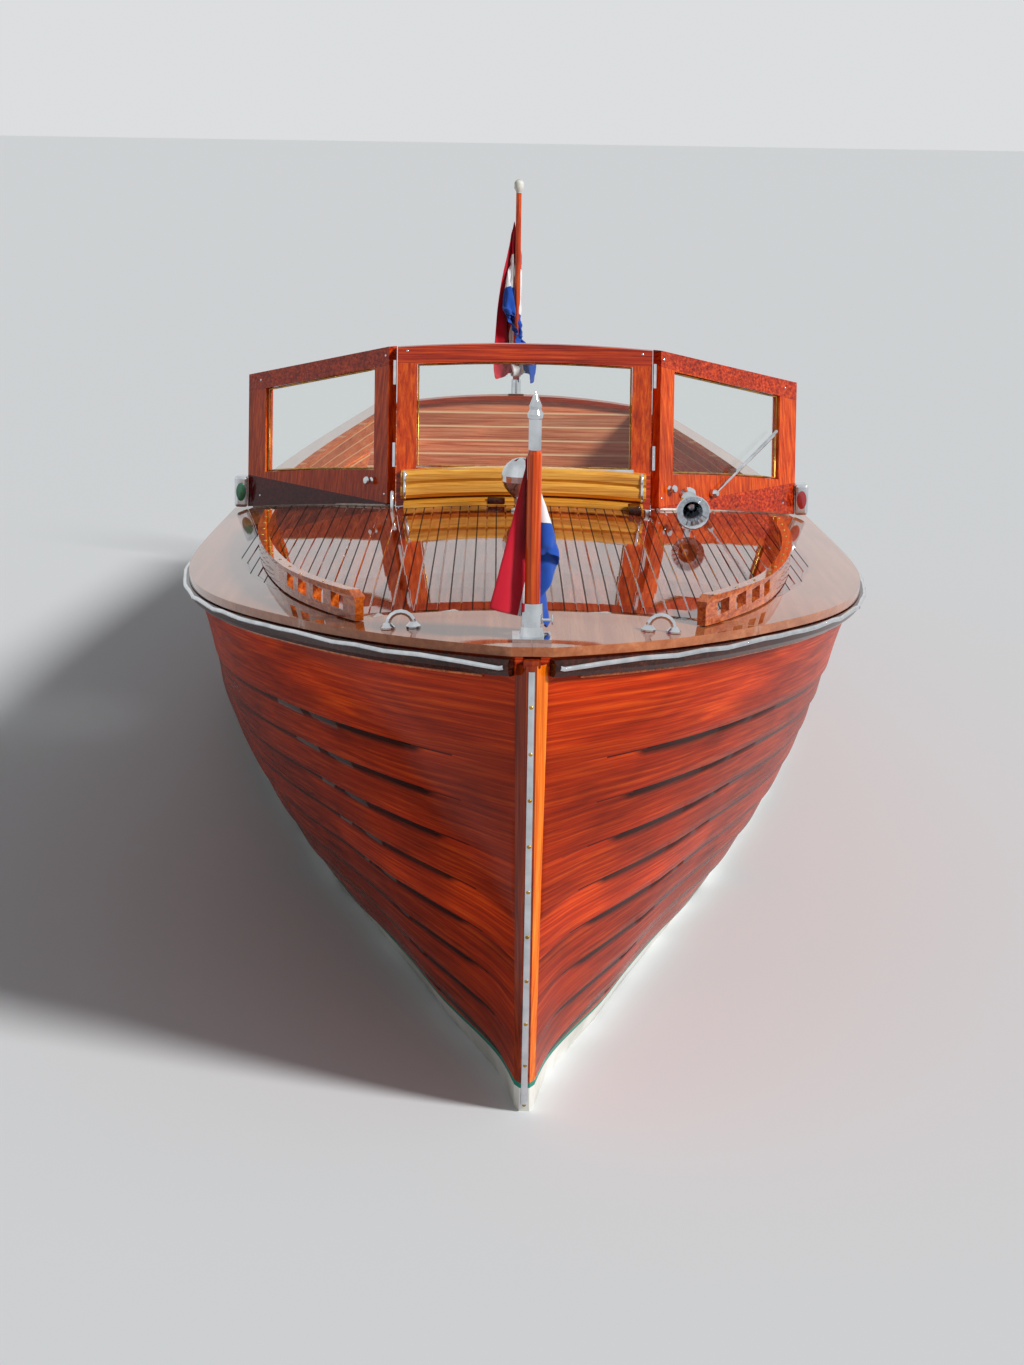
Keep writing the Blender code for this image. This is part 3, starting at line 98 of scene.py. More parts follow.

# %% [markdown]
# ## Varnished mahogany
# Mahogany has long grain lines with short dark pores in them, and a ribbon figure: broad bands that look
# lighter and darker because the grain leans in and out. Under many coats of varnish the wood itself is
# smooth, and the gloss lies on top as a clear coat. So the colour comes from stretched noise, and the coat
# gives the reflections. Across the grain, three noises of about 2 mm, 9 mm and 110 mm make pores, grain and
# figure. A face attribute can make a piece lighter or darker board by board, as planks from different trees
# are, and on the planks it also carries painted shade on the overlaps' undersides. A second UV map can paint
# shade just under each overlap.

# %% Mahogany
def wood(name, colours, along=(0, 1, 0), grain_mm=9, gloss=0.05, coat=1.0, ribbon=0.5, plank_tone_and_lap_shade=False,
         boards_mm=0, boards_axis="X", line_mm=0, line_colour="#2a0f08", line_shift=0.0, uv="", shade_uv=""):
    """A varnished wood. colours are dark, middle and light. along is the grain's direction."""
    mat, shader = finish(name, Roughness=0.5, Specular_IOR_Level=0.0, Coat_Weight=coat, Coat_Roughness=gloss,
                         Coat_IOR=1.5)
    place = add_node(mat, "ShaderNodeTexCoord").outputs["Object"]
    flat = place
    if uv:
        flat = add_node(mat, "ShaderNodeUVMap", uv_map=uv).outputs["UV"]
    fine = 1000 / grain_mm
    slow = fine / 40
    stretch = [slow if a else fine for a in along]
    grain_map = add_node(mat, "ShaderNodeMapping", {"Scale": stretch}, {"Vector": flat})
    grain = add_node(mat, "ShaderNodeTexNoise", {"Scale": 1.0, "Detail": 6.0, "Roughness": 0.62,
                                                 "Distortion": 0.35}, {"Vector": grain_map.outputs[0]})
    pore_map = add_node(mat, "ShaderNodeMapping", {"Scale": [v * 4.5 for v in stretch]}, {"Vector": flat})
    pores = add_node(mat, "ShaderNodeTexNoise", {"Scale": 1.0, "Detail": 2.0}, {"Vector": pore_map.outputs[0]})
    figure_map = add_node(mat, "ShaderNodeMapping",
                          {"Scale": [2.2 if a else 9.0 for a in along]}, {"Vector": flat})
    figure = add_node(mat, "ShaderNodeTexNoise", {"Scale": 1.0, "Detail": 3.0, "Distortion": 0.8},
                      {"Vector": figure_map.outputs[0]})
    dark, middle, light = (linear(c) for c in colours)
    colour = add_node(mat, "ShaderNodeValToRGB", (), {"Fac": grain.outputs["Fac"]},
                      ((0.32, dark), (0.70, light), (0.50, middle)))
    pore_mask = add_node(mat, "ShaderNodeMapRange", {1: 0.56, 2: 0.70, 3: 0.0, 4: 0.45},
                         {0: pores.outputs["Fac"]})
    pored = add_node(mat, "ShaderNodeMix", {MIX_B: dark}, {MIX_FACTOR: pore_mask.outputs[0],
                                                           MIX_A: colour.outputs["Color"]}, data_type="RGBA")
    shade = add_node(mat, "ShaderNodeMapRange", {1: 0.3, 2: 0.7, 3: 1.0 - ribbon * 0.42, 4: 1.0 + ribbon * 0.30},
                     {0: figure.outputs["Fac"]})
    value = shade.outputs[0]
    # The face attribute holds each board's own lightness and, on the planks, painted shade on the overlaps'
    # undersides.
    if plank_tone_and_lap_shade:
        by_board = add_node(mat, "ShaderNodeAttribute", attribute_name="plank_tone_and_lap_shade")
        both = add_node(mat, "ShaderNodeMath", (), {0: value, 1: by_board.outputs["Fac"]}, operation="MULTIPLY")
        value = both.outputs[0]
    if boards_mm:
        split = add_node(mat, "ShaderNodeSeparateXYZ", (), {0: place})
        count = add_node(mat, "ShaderNodeMath", {1: 1000 / boards_mm, 2: line_shift},
                         {0: split.outputs[boards_axis]}, operation="MULTIPLY_ADD")
        whole = add_node(mat, "ShaderNodeMath", (), {0: count.outputs[0]}, operation="FLOOR")
        pick = add_node(mat, "ShaderNodeTexWhiteNoise", (), {"W": whole.outputs[0]}, noise_dimensions="1D")
        spread = add_node(mat, "ShaderNodeMapRange", {3: 0.72, 4: 1.22}, {0: pick.outputs["Value"]})
        both = add_node(mat, "ShaderNodeMath", (), {0: value, 1: spread.outputs[0]}, operation="MULTIPLY")
        value = both.outputs[0]
    toned = add_node(mat, "ShaderNodeHueSaturation", (), {"Value": value, "Color": pored.outputs[MIX_RESULT]})
    last = toned.outputs[0]
    if line_mm:
        part = add_node(mat, "ShaderNodeMath", (), {0: count.outputs[0]}, operation="FRACT")
        off = add_node(mat, "ShaderNodeMath", {1: 0.5}, {0: part.outputs[0]}, operation="SUBTRACT")
        far = add_node(mat, "ShaderNodeMath", (), {0: off.outputs[0]}, operation="ABSOLUTE")
        edge = 0.5 - line_mm / boards_mm / 2
        line = add_node(mat, "ShaderNodeMapRange", {1: edge - 0.006, 2: edge + 0.006}, {0: far.outputs[0]})
        lined = add_node(mat, "ShaderNodeMix", {MIX_B: linear(line_colour)},
                         {MIX_FACTOR: line.outputs[0], MIX_A: last}, data_type="RGBA")
        last = lined.outputs[MIX_RESULT]
        matt = add_node(mat, "ShaderNodeMapRange", {3: coat, 4: 0.15}, {0: line.outputs[0]})
        join(mat, matt.outputs[0], shader.inputs["Coat Weight"])
    # Painted shade: where this UV map is near 0, just under a plank's overlap, the colour is darkened to a tenth.
    if shade_uv:
        across = add_node(mat, "ShaderNodeSeparateXYZ", (),
                          {0: add_node(mat, "ShaderNodeUVMap", uv_map=shade_uv).outputs["UV"]})
        deep = add_node(mat, "ShaderNodeMapRange", {1: 0.08, 2: 0.24, 3: 0.10, 4: 1.0}, {0: across.outputs["X"]})
        shaded = add_node(mat, "ShaderNodeHueSaturation", (), {"Value": deep.outputs[0], "Color": last})
        last = shaded.outputs[0]
    join(mat, last, shader.inputs["Base Color"])
    bump = add_node(mat, "ShaderNodeBump", {"Strength": 0.08, "Distance": 0.0004}, {"Height": grain.outputs["Fac"]})
    join(mat, bump.outputs[0], shader.inputs["Normal"])
    ripple = add_node(mat, "ShaderNodeTexNoise", {"Scale": 9.0, "Detail": 2.0}, {"Vector": place})
    wave = add_node(mat, "ShaderNodeBump", {"Strength": 0.12, "Distance": 0.0008}, {"Height": ripple.outputs["Fac"]})
    join(mat, wave.outputs[0], shader.inputs["Coat Normal"])
    return mat, shader

# %% The boat's woods
hull_wood, hull_shader = wood("orange_mahogany_planking", ("#861e02", "#b43006", "#d8500e"), (0, 1, 0), 9,
                              coat=0.32, ribbon=0.9, plank_tone_and_lap_shade=True, uv="grain", shade_uv="lap_shade")
deck_wood, _ = wood("deck_mahogany_with_black_seams", ("#5a1a08", "#9a4020", "#c0603a"), (0, 1, 0), 12,
                    gloss=0.03, boards_mm=56, line_mm=4, line_colour="#3a2620", line_shift=0.5)
board_wood, _ = wood("plain_mahogany_boards", ("#a0532c", "#b0663c", "#c47c50"), (0, 1, 0), 30, gloss=0.04,
                     ribbon=0.3)
rail_top_wood, _ = wood("deck_rail_mahogany", ("#8a3208", "#c85c1a", "#e88638"), (0, 1, 0), 10, gloss=0.05)
post_wood, _ = wood("upright_mahogany", ("#9c2804", "#d2480a", "#f2701c"), (0, 0, 1), 9, coat=0.7, gloss=0.06)
rail_wood, _ = wood("cross_mahogany", ("#7a1c04", "#b43c0c", "#d8601e"), (1, 0, 0), 9, coat=0.7, gloss=0.06)
# Dark mahogany for the wheel and the rub rails, and also painted shade on the vent's wedge and sill block.
dark_wood_and_painted_shade, _ = wood("dark_mahogany", ("#1d0a06", "#3a150c", "#5a2514"), (0, 1, 0), 9, coat=0.7, gloss=0.06)
golden_wood, _ = wood("golden_ash", ("#b8701c", "#eaa43a", "#f8c45c"), (1, 0, 0), 8, coat=0.7, gloss=0.08, ribbon=0.3)
lining_wood, _ = wood("lining_boards_with_pale_seams", ("#a84408", "#e8731c", "#fc9c48"), (0, 1, 0), 10, coat=0.5,
                      gloss=0.10, boards_mm=62, boards_axis="Z", line_mm=7, line_colour="#f0c890")
transom_wood, _ = wood("transom_boards_with_pale_seams", ("#b0502c", "#e4875a", "#f8b488"), (1, 0, 0), 10,
                       coat=0.5, gloss=0.10, boards_mm=62, boards_axis="Z", line_mm=7, line_colour="#f4d4a8")
sole_wood, _ = wood("cockpit_floor_boards", ("#5a2c14", "#9a5628", "#c48048"), (0, 1, 0), 10, gloss=0.18,
                    boards_mm=90, line_mm=4, line_shift=0.5)

# %% [markdown]
# ## Paint below the varnish
# The bottom is painted off-white, and the paint comes up over the waterline as a boot top that is deeper at
# the stem than amidships. A thin sea-green line closes it off. Height alone says which finish a point has, so
# the same wood material mixes in both paints by its Z. The upper edge drops from the stem aft, as a Map
# Range from Y. The paint has no clear coat of its own, but a soft gloss.

# %% Boot top
def boot_top(mat, shader):
    """Adds the painted bottom and the green line to a wood, by height over the water."""
    place = add_node(mat, "ShaderNodeTexCoord").outputs["Object"]
    split = add_node(mat, "ShaderNodeSeparateXYZ", (), {0: place})
    upper = add_node(mat, "ShaderNodeMapRange", {1: -3.5, 2: -1.2, 3: 0.066, 4: 0.040}, {0: split.outputs["Y"]})
    above = add_node(mat, "ShaderNodeMath", (), {0: split.outputs["Z"], 1: upper.outputs[0]}, operation="SUBTRACT")
    paint = add_node(mat, "ShaderNodeMath", {1: 0.0}, {0: above.outputs[0]}, operation="LESS_THAN")
    line = add_node(mat, "ShaderNodeMath", {1: 0.014}, {0: above.outputs[0]}, operation="LESS_THAN")
    stain = add_node(mat, "ShaderNodeTexNoise", {"Scale": 6.0, "Detail": 6.0}, {"Vector": place})
    white = add_node(mat, "ShaderNodeValToRGB", (), {"Fac": stain.outputs["Fac"]},
                     ((0.35, linear("#c9c8bd")), (0.7, linear("#f0efe8"))))
    old = shader.inputs["Base Color"].links[0].from_socket
    green = add_node(mat, "ShaderNodeMix", {MIX_B: linear("#0d8570")}, {MIX_FACTOR: line.outputs[0], MIX_A: old},
                     data_type="RGBA")
    full = add_node(mat, "ShaderNodeMix", (), {MIX_FACTOR: paint.outputs[0], MIX_A: green.outputs[MIX_RESULT],
                                               MIX_B: white.outputs[0]}, data_type="RGBA")
    join(mat, full.outputs[MIX_RESULT], shader.inputs["Base Color"])


boot_top(hull_wood, hull_shader)
# The stem's finish is a shaded and a lit copy of one mahogany: the darker copy is painted shade for its starboard and
# forward faces, the brighter one painted sunlight for its port faces.
stem_wood_painted_shade, stem_painted_shade_shader = wood("stem_mahogany_painted_shade", ("#5a1604", "#8c2a08", "#b04412"), (0, 0, 1), 9, coat=0.6)
boot_top(stem_wood_painted_shade, stem_painted_shade_shader)
stem_wood_painted_sunlight, stem_painted_sunlight_shader = wood("stem_mahogany_painted_sunlight", ("#c85008", "#ee700e", "#fc9030"), (0, 0, 1), 9, coat=0.6)
boot_top(stem_wood_painted_sunlight, stem_painted_sunlight_shader)

# %% [markdown]
# ## Chrome, bronze, glass, paint and cloth
# Chromed brass mirrors its room, with a faint haze where it has been polished for years. Bronze under water
# is dull and brown in its hollows. The panes are clear float glass, nearly without colour: light passes
# straight through them, so their shadow is let through too, which a Light Path node does.

# %% Metals, glass and paint
def metal(name, colour, rough, cloudy, tarnish=None):
    mat, shader = finish(name, Metallic=1.0)
    place = add_node(mat, "ShaderNodeTexCoord").outputs["Object"]
    haze = add_node(mat, "ShaderNodeTexNoise", {"Scale": 22.0, "Detail": 5.0}, {"Vector": place})
    level = add_node(mat, "ShaderNodeMapRange", {1: 0.35, 2: 0.75, 3: rough, 4: rough + cloudy},
                     {0: haze.outputs["Fac"]})
    join(mat, level.outputs[0], shader.inputs["Roughness"])
    tint = add_node(mat, "ShaderNodeValToRGB", (), {"Fac": haze.outputs["Fac"]},
                    ((0.35, linear(tarnish or colour)), (0.62, linear(colour))))
    join(mat, tint.outputs[0], shader.inputs["Base Color"])
    bump = add_node(mat, "ShaderNodeBump", {"Strength": 0.03, "Distance": 0.0003}, {"Height": haze.outputs["Fac"]})
    join(mat, bump.outputs[0], shader.inputs["Normal"])
    return mat


chrome = metal("polished_chrome", "#dfe2e6", 0.05, 0.10, "#c4c8cc")
bronze = metal("underwater_bronze", "#a9793a", 0.32, 0.2, "#5e4a2c")
brass = metal("brass_screws", "#c79a4a", 0.22, 0.15, "#8d6c32")


def pane_glass():
    mat, shader = finish("clear_float_glass", Base_Color=linear("#fafdfc"), Roughness=0.0, IOR=1.40,
                         Transmission_Weight=1.0)
    out = mat.node_tree.nodes["Material Output"]
    smear = add_node(mat, "ShaderNodeTexNoise", {"Scale": 5.0, "Detail": 4.0},
                     {"Vector": add_node(mat, "ShaderNodeTexCoord").outputs["Object"]})
    level = add_node(mat, "ShaderNodeMapRange", {1: 0.5, 2: 0.8, 3: 0.0, 4: 0.01}, {0: smear.outputs["Fac"]})
    join(mat, level.outputs[0], shader.inputs["Roughness"])
    path = add_node(mat, "ShaderNodeLightPath")
    through = add_node(mat, "ShaderNodeBsdfTransparent", {"Color": linear("#e6efeb")})
    both = add_node(mat, "ShaderNodeMixShader", (), {0: path.outputs["Is Shadow Ray"], 1: shader.outputs[0],
                                                     2: through.outputs[0]})
    join(mat, both.outputs[0], out.inputs["Surface"])
    return mat


def paint(name, light, dark, rough, scale=30.0):
    mat, shader = finish(name, Roughness=rough)
    place = add_node(mat, "ShaderNodeTexCoord").outputs["Object"]
    wear = add_node(mat, "ShaderNodeTexNoise", {"Scale": scale, "Detail": 6.0}, {"Vector": place})
    tint = add_node(mat, "ShaderNodeValToRGB", (), {"Fac": wear.outputs["Fac"]},
                    ((0.35, linear(dark)), (0.65, linear(light))))
    join(mat, tint.outputs[0], shader.inputs["Base Color"])
    bump = add_node(mat, "ShaderNodeBump", {"Strength": 0.1, "Distance": 0.0004}, {"Height": wear.outputs["Fac"]})
    join(mat, bump.outputs[0], shader.inputs["Normal"])
    return mat


glass = pane_glass()
white_paint = paint("white_bottom_paint", "#e9e8e0", "#c7c5b8", 0.45)
engine_paint = paint("green_engine_enamel", "#2f5a47", "#1c3328", 0.35)
putty = paint("white_sealing_bead", "#ece9e0", "#cfcabc", 0.5, 60.0)

# %% [markdown]
# ## Finishes on the CAD nodes
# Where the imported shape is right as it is, its object only gets a material in its slot. A table says which
# nodes take which finish.

# %% Materials by node
BY_NODE = {
    "foredeck_panel": deck_wood, "cockpit_sole": sole_wood, "dashboard": rail_wood, "engine_box": board_wood,
    "engine_box_lid": board_wood, "helm_bench": rail_wood, "stern_bench": rail_wood,
    "windscreen_centre_frame": post_wood, "jackstaff": post_wood, "ensign_staff": post_wood,
    "transom_cap": rail_wood, "steering_wheel": dark_wood_and_painted_shade, "transom": transom_wood,
    "vent_bars": golden_wood, "vent_sill": golden_wood, "keel": white_paint, "engine": engine_paint,
    "steering_column": chrome, "throttle_lever": chrome, "spotlight_foot": chrome, "spotlight": chrome,
    "horn": chrome, "stemhead_fitting": chrome, "ensign_socket": chrome, "wiper": chrome,
    "propeller_shaft": bronze, "propeller": bronze, "rudder": bronze, "windscreen_centre_glass": glass,
}
for side, word in SIDES:
    BY_NODE.update({
        f"deck_rail_{word}": rail_top_wood, f"windscreen_wing_{word}_frame": post_wood,
        f"windscreen_wing_{word}_glass": glass, f"quarter_glass_{word}": glass, f"fairlead_{word}": chrome,
        f"side_light_{word}": chrome, f"side_lining_{word}": lining_wood,
    })


def dress(obj, mat):
    obj.data.materials.clear()
    obj.data.materials.append(mat)
    for face in getattr(obj.data, "polygons", ()):
        face.material_index = 0


for name, mat in BY_NODE.items():
    dress(nodes[name], mat)
print(len(BY_NODE), "nodes dressed")

# Grain that runs across the boat, for the windscreen's rails, and a darker copy of it, painted shade on the starboard
# wing's lower rail
rail_grain, _ = wood("windscreen_rails_level_grain", ("#6a1204", "#b83210", "#e65c1c"), (1, 0, 0), 9, coat=0.7)
starboard_rail_painted_shade, _ = wood("windscreen_rail_painted_shade", ("#3a0a0c", "#5a1418", "#782420"), (1, 0, 0), 9, coat=0.7)

# %% [markdown]
# ## Finding places on the boat
# Trim follows the real surfaces. A ray cast at a CAD node gives the point and the direction of its surface
# there, and a plane cut through a node gives its outline at one station. So no place is guessed twice.

# %% Pieces, rays and sections
def object_from(bm, name):
    """Turns a bmesh to an object in the scene, and frees it."""
    mesh = bpy.data.meshes.new(name)
    bm.to_mesh(mesh)
    bm.free()
    obj = bpy.data.objects.new(name, mesh)
    bpy.context.scene.collection.objects.link(obj)
    return obj


def link(obj, body="hull"):
    bpy.context.scene.collection.objects.link(obj)
    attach(obj, body)
    return obj


def piece_from(bm, name, mat, body="hull", smooth=30.0):
    """Turns a bmesh to a piece that rides on a body, with its edges sharp past an angle."""
    obj = object_from(bm, name)
    obj.data.materials.append(mat)
    if smooth:
        obj.data.shade_smooth()
        obj.data.set_sharp_from_angle(angle=math.radians(smooth))
    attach(obj, body)
    return obj


TREES = {}


def ray(node, origin, direction):
    """Point and normal where a ray meets a CAD node."""
    if node not in TREES:
        mesh = nodes[node].data
        TREES[node] = BVHTree.FromPolygons([v.co.copy() for v in mesh.vertices],
                                           [tuple(p.vertices) for p in mesh.polygons])
    point, normal, _, _ = TREES[node].ray_cast(Vector(origin), Vector(direction).normalized())
    if point is None:
        raise ValueError(f"no {node} along {tuple(direction)} from {tuple(origin)}")
    return point, normal


def section(node, place, axis=1):
    """Points where a CAD node's edges cross the plane at this place on an axis."""
    mesh = nodes[node].data
    found = []
    for a, b in (edge.vertices for edge in mesh.edges):
        one, two = mesh.vertices[a].co, mesh.vertices[b].co
        if (one[axis] - place) * (two[axis] - place) < 0:
            found.append(one.lerp(two, (place - one[axis]) / (two[axis] - one[axis])))
    return found


def steps(start, end, count):
    return [start + (end - start) * k / (count - 1) for k in range(count)]


def rod(name, points, radius, mat, body="hull", cyclic=False, round_steps=3):
    """A round bar or bead along points, as a curve."""
    curve = bpy.data.curves.new(name, "CURVE")
    curve.dimensions = "3D"
    curve.bevel_depth = radius
    curve.bevel_resolution = round_steps
    curve.use_fill_caps = True
    spline = curve.splines.new("POLY")
    spline.points.add(len(points) - 1)
    for k, p in enumerate(points):
        spline.points[k].co = (*p, 1.0)
    spline.use_cyclic_u = cyclic
    spline.use_smooth = True
    curve.materials.append(mat)
    return link(bpy.data.objects.new(name, curve), body)


def studs(name, places, radius, mat, body="hull", height=0.45, sides=12):
    """Domed screw heads at (point, normal) places."""
    bm = bmesh.new()
    for point, normal in places:
        turn = normal.normalized().to_track_quat("Z", "Y").to_matrix().to_4x4()
        squash = Matrix.Diagonal((1.0, 1.0, height, 1.0))
        bmesh.ops.create_uvsphere(bm, u_segments=sides, v_segments=6, radius=radius,
                                  matrix=Matrix.Translation(point) @ turn @ squash)
    return piece_from(bm, name, mat, body, smooth=60.0)


def block(name, centre, size, mat, body="hull", turn=None, bevel=0.0015, segments=2):
    """A small block with rounded edges, turned by a matrix round its centre."""
    bm = bmesh.new()
    bmesh.ops.create_cube(bm, size=1.0)
    bmesh.ops.scale(bm, vec=size, verts=bm.verts)
    bmesh.ops.bevel(bm, geom=bm.edges[:], offset=bevel, segments=segments, affect="EDGES", profile=0.5,
                    material=-1)
    place = Matrix.Translation(centre) @ (turn or Matrix.Identity(4))
    bmesh.ops.transform(bm, matrix=place, verts=bm.verts)
    return piece_from(bm, name, mat, body, smooth=40.0)


def lathe(name, profile, place, mat, body="hull", count=24):
    """A profile of (radius, height) spun round local Z and set in place by a matrix."""
    bm = bmesh.new()
    rows = [bm.verts.new((r, 0, h)) for r, h in profile]
    edges = [bm.edges.new(pair) for pair in zip(rows, rows[1:])]
    bmesh.ops.spin(bm, geom=rows + edges, cent=(0, 0, 0), axis=(0, 0, 1), angle=2 * math.pi, steps=count,
                   use_merge=True)
    bmesh.ops.remove_doubles(bm, verts=bm.verts, dist=0.00002)
    bmesh.ops.recalc_face_normals(bm, faces=bm.faces)
    bmesh.ops.transform(bm, matrix=place, verts=bm.verts)
    return piece_from(bm, name, mat, body, smooth=35.0)


def facing(point, direction):
    """A matrix that stands local Z along a direction at a point."""
    return Matrix.Translation(point) @ Vector(direction).to_track_quat("Z", "Y").to_matrix().to_4x4()

# %% [markdown]
# ## Planks that bend smoothly
# The imported planking is made of flat facets, which show in a mirror-like varnish. A real plank is one fair
# curve. So a copy of the imported mesh is welded, its triangles are joined to quads, its laps and ends are
# creased, and a Subdivision Surface bends the rest. The narrow undersides of the overlaps give the planks'
# edges: each plank gets its own lightness as a face attribute, which also paints shade on those undersides,
# and a UV map that runs along it, because the grain follows the plank and not the boat's axes. A second UV map
# runs from 0 under an overlap to 1 at the plank's lower edge, and the wood is painted dark where it is near 0,
# as painted shade for the shadow that each overlap casts on the plank below. This painted shade fades out
# towards the stem.

# %% Smooth copies of long boards
# LAP_SHADE is the painted shade on the overlaps' undersides; FADE_FROM and FADE_LENGTH fade the painted shade out
# near the stem.
LAP_WIDTH, LAP_SHADE = 0.012, 0.06
FADE_FROM, FADE_LENGTH = -3.50, 0.16


def is_lap(face):
    """True for the narrow underside of an overlap, which runs along the boat."""
    long_edge = max(face.edges, key=lambda edge: edge.calc_length())
    run = long_edge.verts[0].co - long_edge.verts[1].co
    return face.calc_area() / run.length < LAP_WIDTH and abs(run.y) > 0.6 * run.length


def find_laps(bm):
    """Each overlap as a list of (y, z), found by walking from one narrow face to the next."""
    left = {face for face in bm.faces if is_lap(face)}
    laps = []
    while left:
        walk, places = [left.pop()], []
        while walk:
            face = walk.pop()
            places += [(v.co.y, v.co.z) for v in face.verts]
            for other in {o for e in face.edges for o in e.link_faces} & left:
                left.remove(other)
                walk.append(other)
        places.sort()
        if places[-1][0] - places[0][0] > 3.0:
            laps.append(places[::2] + places[-1:])
    return sorted(laps, key=lambda lap: height_at(lap, 0.0))


def height_at(lap, y):
    """The overlap's height at a station, drawn on past its ends."""
    k = min(max(sum(1 for place in lap if place[0] < y), 3), len(lap) - 3)
    (y0, z0), (y1, z1) = lap[k - 3], lap[k + 2]
    return z0 + (z1 - z0) * (y - y0) / (y1 - y0)


def faded_at(y):
    """From 0, full painted shade at an overlap, to 1, none, near the stem."""
    return min(max((FADE_FROM - y) / FADE_LENGTH + 1.0, 0.0), 1.0)


def mark_planks(bm):
    """Gives each plank its own lightness, paints shade on its overlaps and just below them, and lays the grain's UV
    map along the plank.
    """
    plank_tone_and_lap_shade = bm.faces.layers.float.new("plank_tone_and_lap_shade")
    grain = bm.loops.layers.uv.new("grain")
    shade = bm.loops.layers.uv.new("lap_shade")
    laps = find_laps(bm)
    for face in bm.faces:
        middle = face.calc_center_median()
        below = [lap for lap in laps if height_at(lap, middle.y) < middle.z]
        board = len(below)
        tint = 0.80 + 0.40 * math.modf(math.sin(12.9898 * (board + 3)) * 43758.5453)[0] ** 2
        open_end = faded_at(middle.y)
        # The narrow undersides of the overlaps are painted dark, as shade.
        face[plank_tone_and_lap_shade] = tint * (LAP_SHADE + (1.0 - LAP_SHADE) * open_end) if is_lap(face) else tint
        lap = laps[max(board - 1, 0)]
        for loop in face.loops:
            at = loop.vert.co
            loop[grain].uv = (at.z - height_at(lap, at.y) + 0.37 * board, at.y)
            # Corners just under an overlap get a low value, which the wood paints as shade.
            over = [other for other in loop.vert.link_faces
                    if is_lap(other) and other.calc_center_median().z > middle.z]
            loop[shade].uv = (faded_at(at.y) if over else 1.0, 0.0)
    return len(laps)


def smooth_copy(node, name, mat, levels=2, sharp=16.0, planks=False, mirror_of=""):
    """A welded, subdivided copy of a CAD node, or the mirror image of its twin, that replaces the node."""
    bm = bmesh.new()
    bm.from_mesh(nodes[mirror_of or node].data)
    if mirror_of:
        for vert in bm.verts:
            vert.co.x = -vert.co.x
        bmesh.ops.reverse_faces(bm, faces=bm.faces)
    bmesh.ops.remove_doubles(bm, verts=bm.verts, dist=0.00005)
    bmesh.ops.join_triangles(bm, faces=bm.faces, angle_face_threshold=math.radians(12),
                             angle_shape_threshold=math.pi)
    crease = bm.edges.layers.float.new("crease_edge")
    for edge in bm.edges:
        kinds = {is_lap(face) for face in edge.link_faces} if planks else set()
        if len(edge.link_faces) != 2 or edge.calc_face_angle(0.0) > math.radians(sharp) or len(kinds) == 2:
            edge[crease] = 1.0
    count = mark_planks(bm) if planks else 0
    made = piece_from(bm, name, mat, smooth=32.0)
    bend = made.modifiers.new("bend", "SUBSURF")
    bend.levels = bend.render_levels = levels
    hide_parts(node)
    return made, count


for side, word in SIDES:
    # The starboard mesh has stray triangles across its after end, so the copy is made from its mirror image
    _, count = smooth_copy(f"planking_{word}", f"planks_{word}", hull_wood, planks=True,
                           mirror_of="planking_port" if side < 0 else "")
    smooth_copy(f"covering_board_{word}", f"deck_edge_board_{word}", board_wood)
    smooth_copy(f"gunwale_cap_{word}", f"gunwale_board_{word}", board_wood)
    smooth_copy(f"rub_rail_{word}", f"rub_rail_bent_{word}", dark_wood_and_painted_shade)
    print(word, "planking has", count, "overlaps")
PORT_FACING_PAINTED_SUNLIGHT, FACE_DEPTH, FACE_BACK = 0.25, 0.004, 0.006
timber, _ = smooth_copy("stem", "stem_timber", stem_wood_painted_shade, levels=1)
# Faces that look to port take the brighter copy, painted sunlight; the rest keep the darker copy, painted shade.
timber.data.materials.append(stem_wood_painted_sunlight)
for face in timber.data.polygons:
    face.material_index = int(face.normal.x > PORT_FACING_PAINTED_SUNLIGHT)
for vert in timber.data.vertices:
    if vert.co.y < ray("stem", (vert.co.x * 0.9, -5, vert.co.z), (0, 1, 0))[0].y + FACE_DEPTH:
        vert.co.y += FACE_BACK

# %% [markdown]
# A windscreen frame is joined from upright stiles and level rails, and the grain runs along each. So a copy
# of each frame is cut, without a gap, near the lower edge of its glass and along its sloping top, and the
# faces below and above those cuts take a second finish, whose grain runs across the boat. The starboard
# wing's lower rail takes a darker copy of that finish, as painted shade.

# %% Rails and stiles of the windscreen
LOWER_RAIL, UPPER_RAIL, EDGE_BAND = 0.105, 0.048, 0.06
# The starboard wing's lower rail is painted darker, as shade.
for part, lower in (("centre", rail_grain), ("wing_port", rail_grain), ("wing_starboard", starboard_rail_painted_shade)):
    node = f"windscreen_{part}_frame"
    low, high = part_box(node)
    bm = bmesh.new()
    bm.from_mesh(nodes[node].data)
    tops = [max((v.co for v in bm.verts if abs(v.co.x - end) < EDGE_BAND), key=lambda p: p.z).copy()
            for end in (low[0], high[0])]
    slope = (tops[1].z - tops[0].z) / (tops[1].x - tops[0].x)
    over = Vector((-slope, 0, 1)).normalized()
    cuts = ((Vector((0, 0, low[2] + LOWER_RAIL)), Vector((0, 0, 1))), (tops[0] - over * UPPER_RAIL, over))
    for place, normal in cuts:
        bmesh.ops.bisect_plane(bm, geom=bm.verts[:] + bm.edges[:] + bm.faces[:], dist=0.00001, plane_co=place,
                               plane_no=normal)
    for face in bm.faces:
        middle = face.calc_center_median()
        sides_of = [(middle - place).dot(normal) > 0 for place, normal in cuts]
        face.material_index = 1 if not sides_of[0] else 2 if sides_of[1] else 0
    made = piece_from(bm, f"windscreen_{part}_joinery", post_wood)
    made.data.materials.append(lower)
    made.data.materials.append(rail_grain)
    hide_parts(node)
    print(made.name, "has rails and stiles")

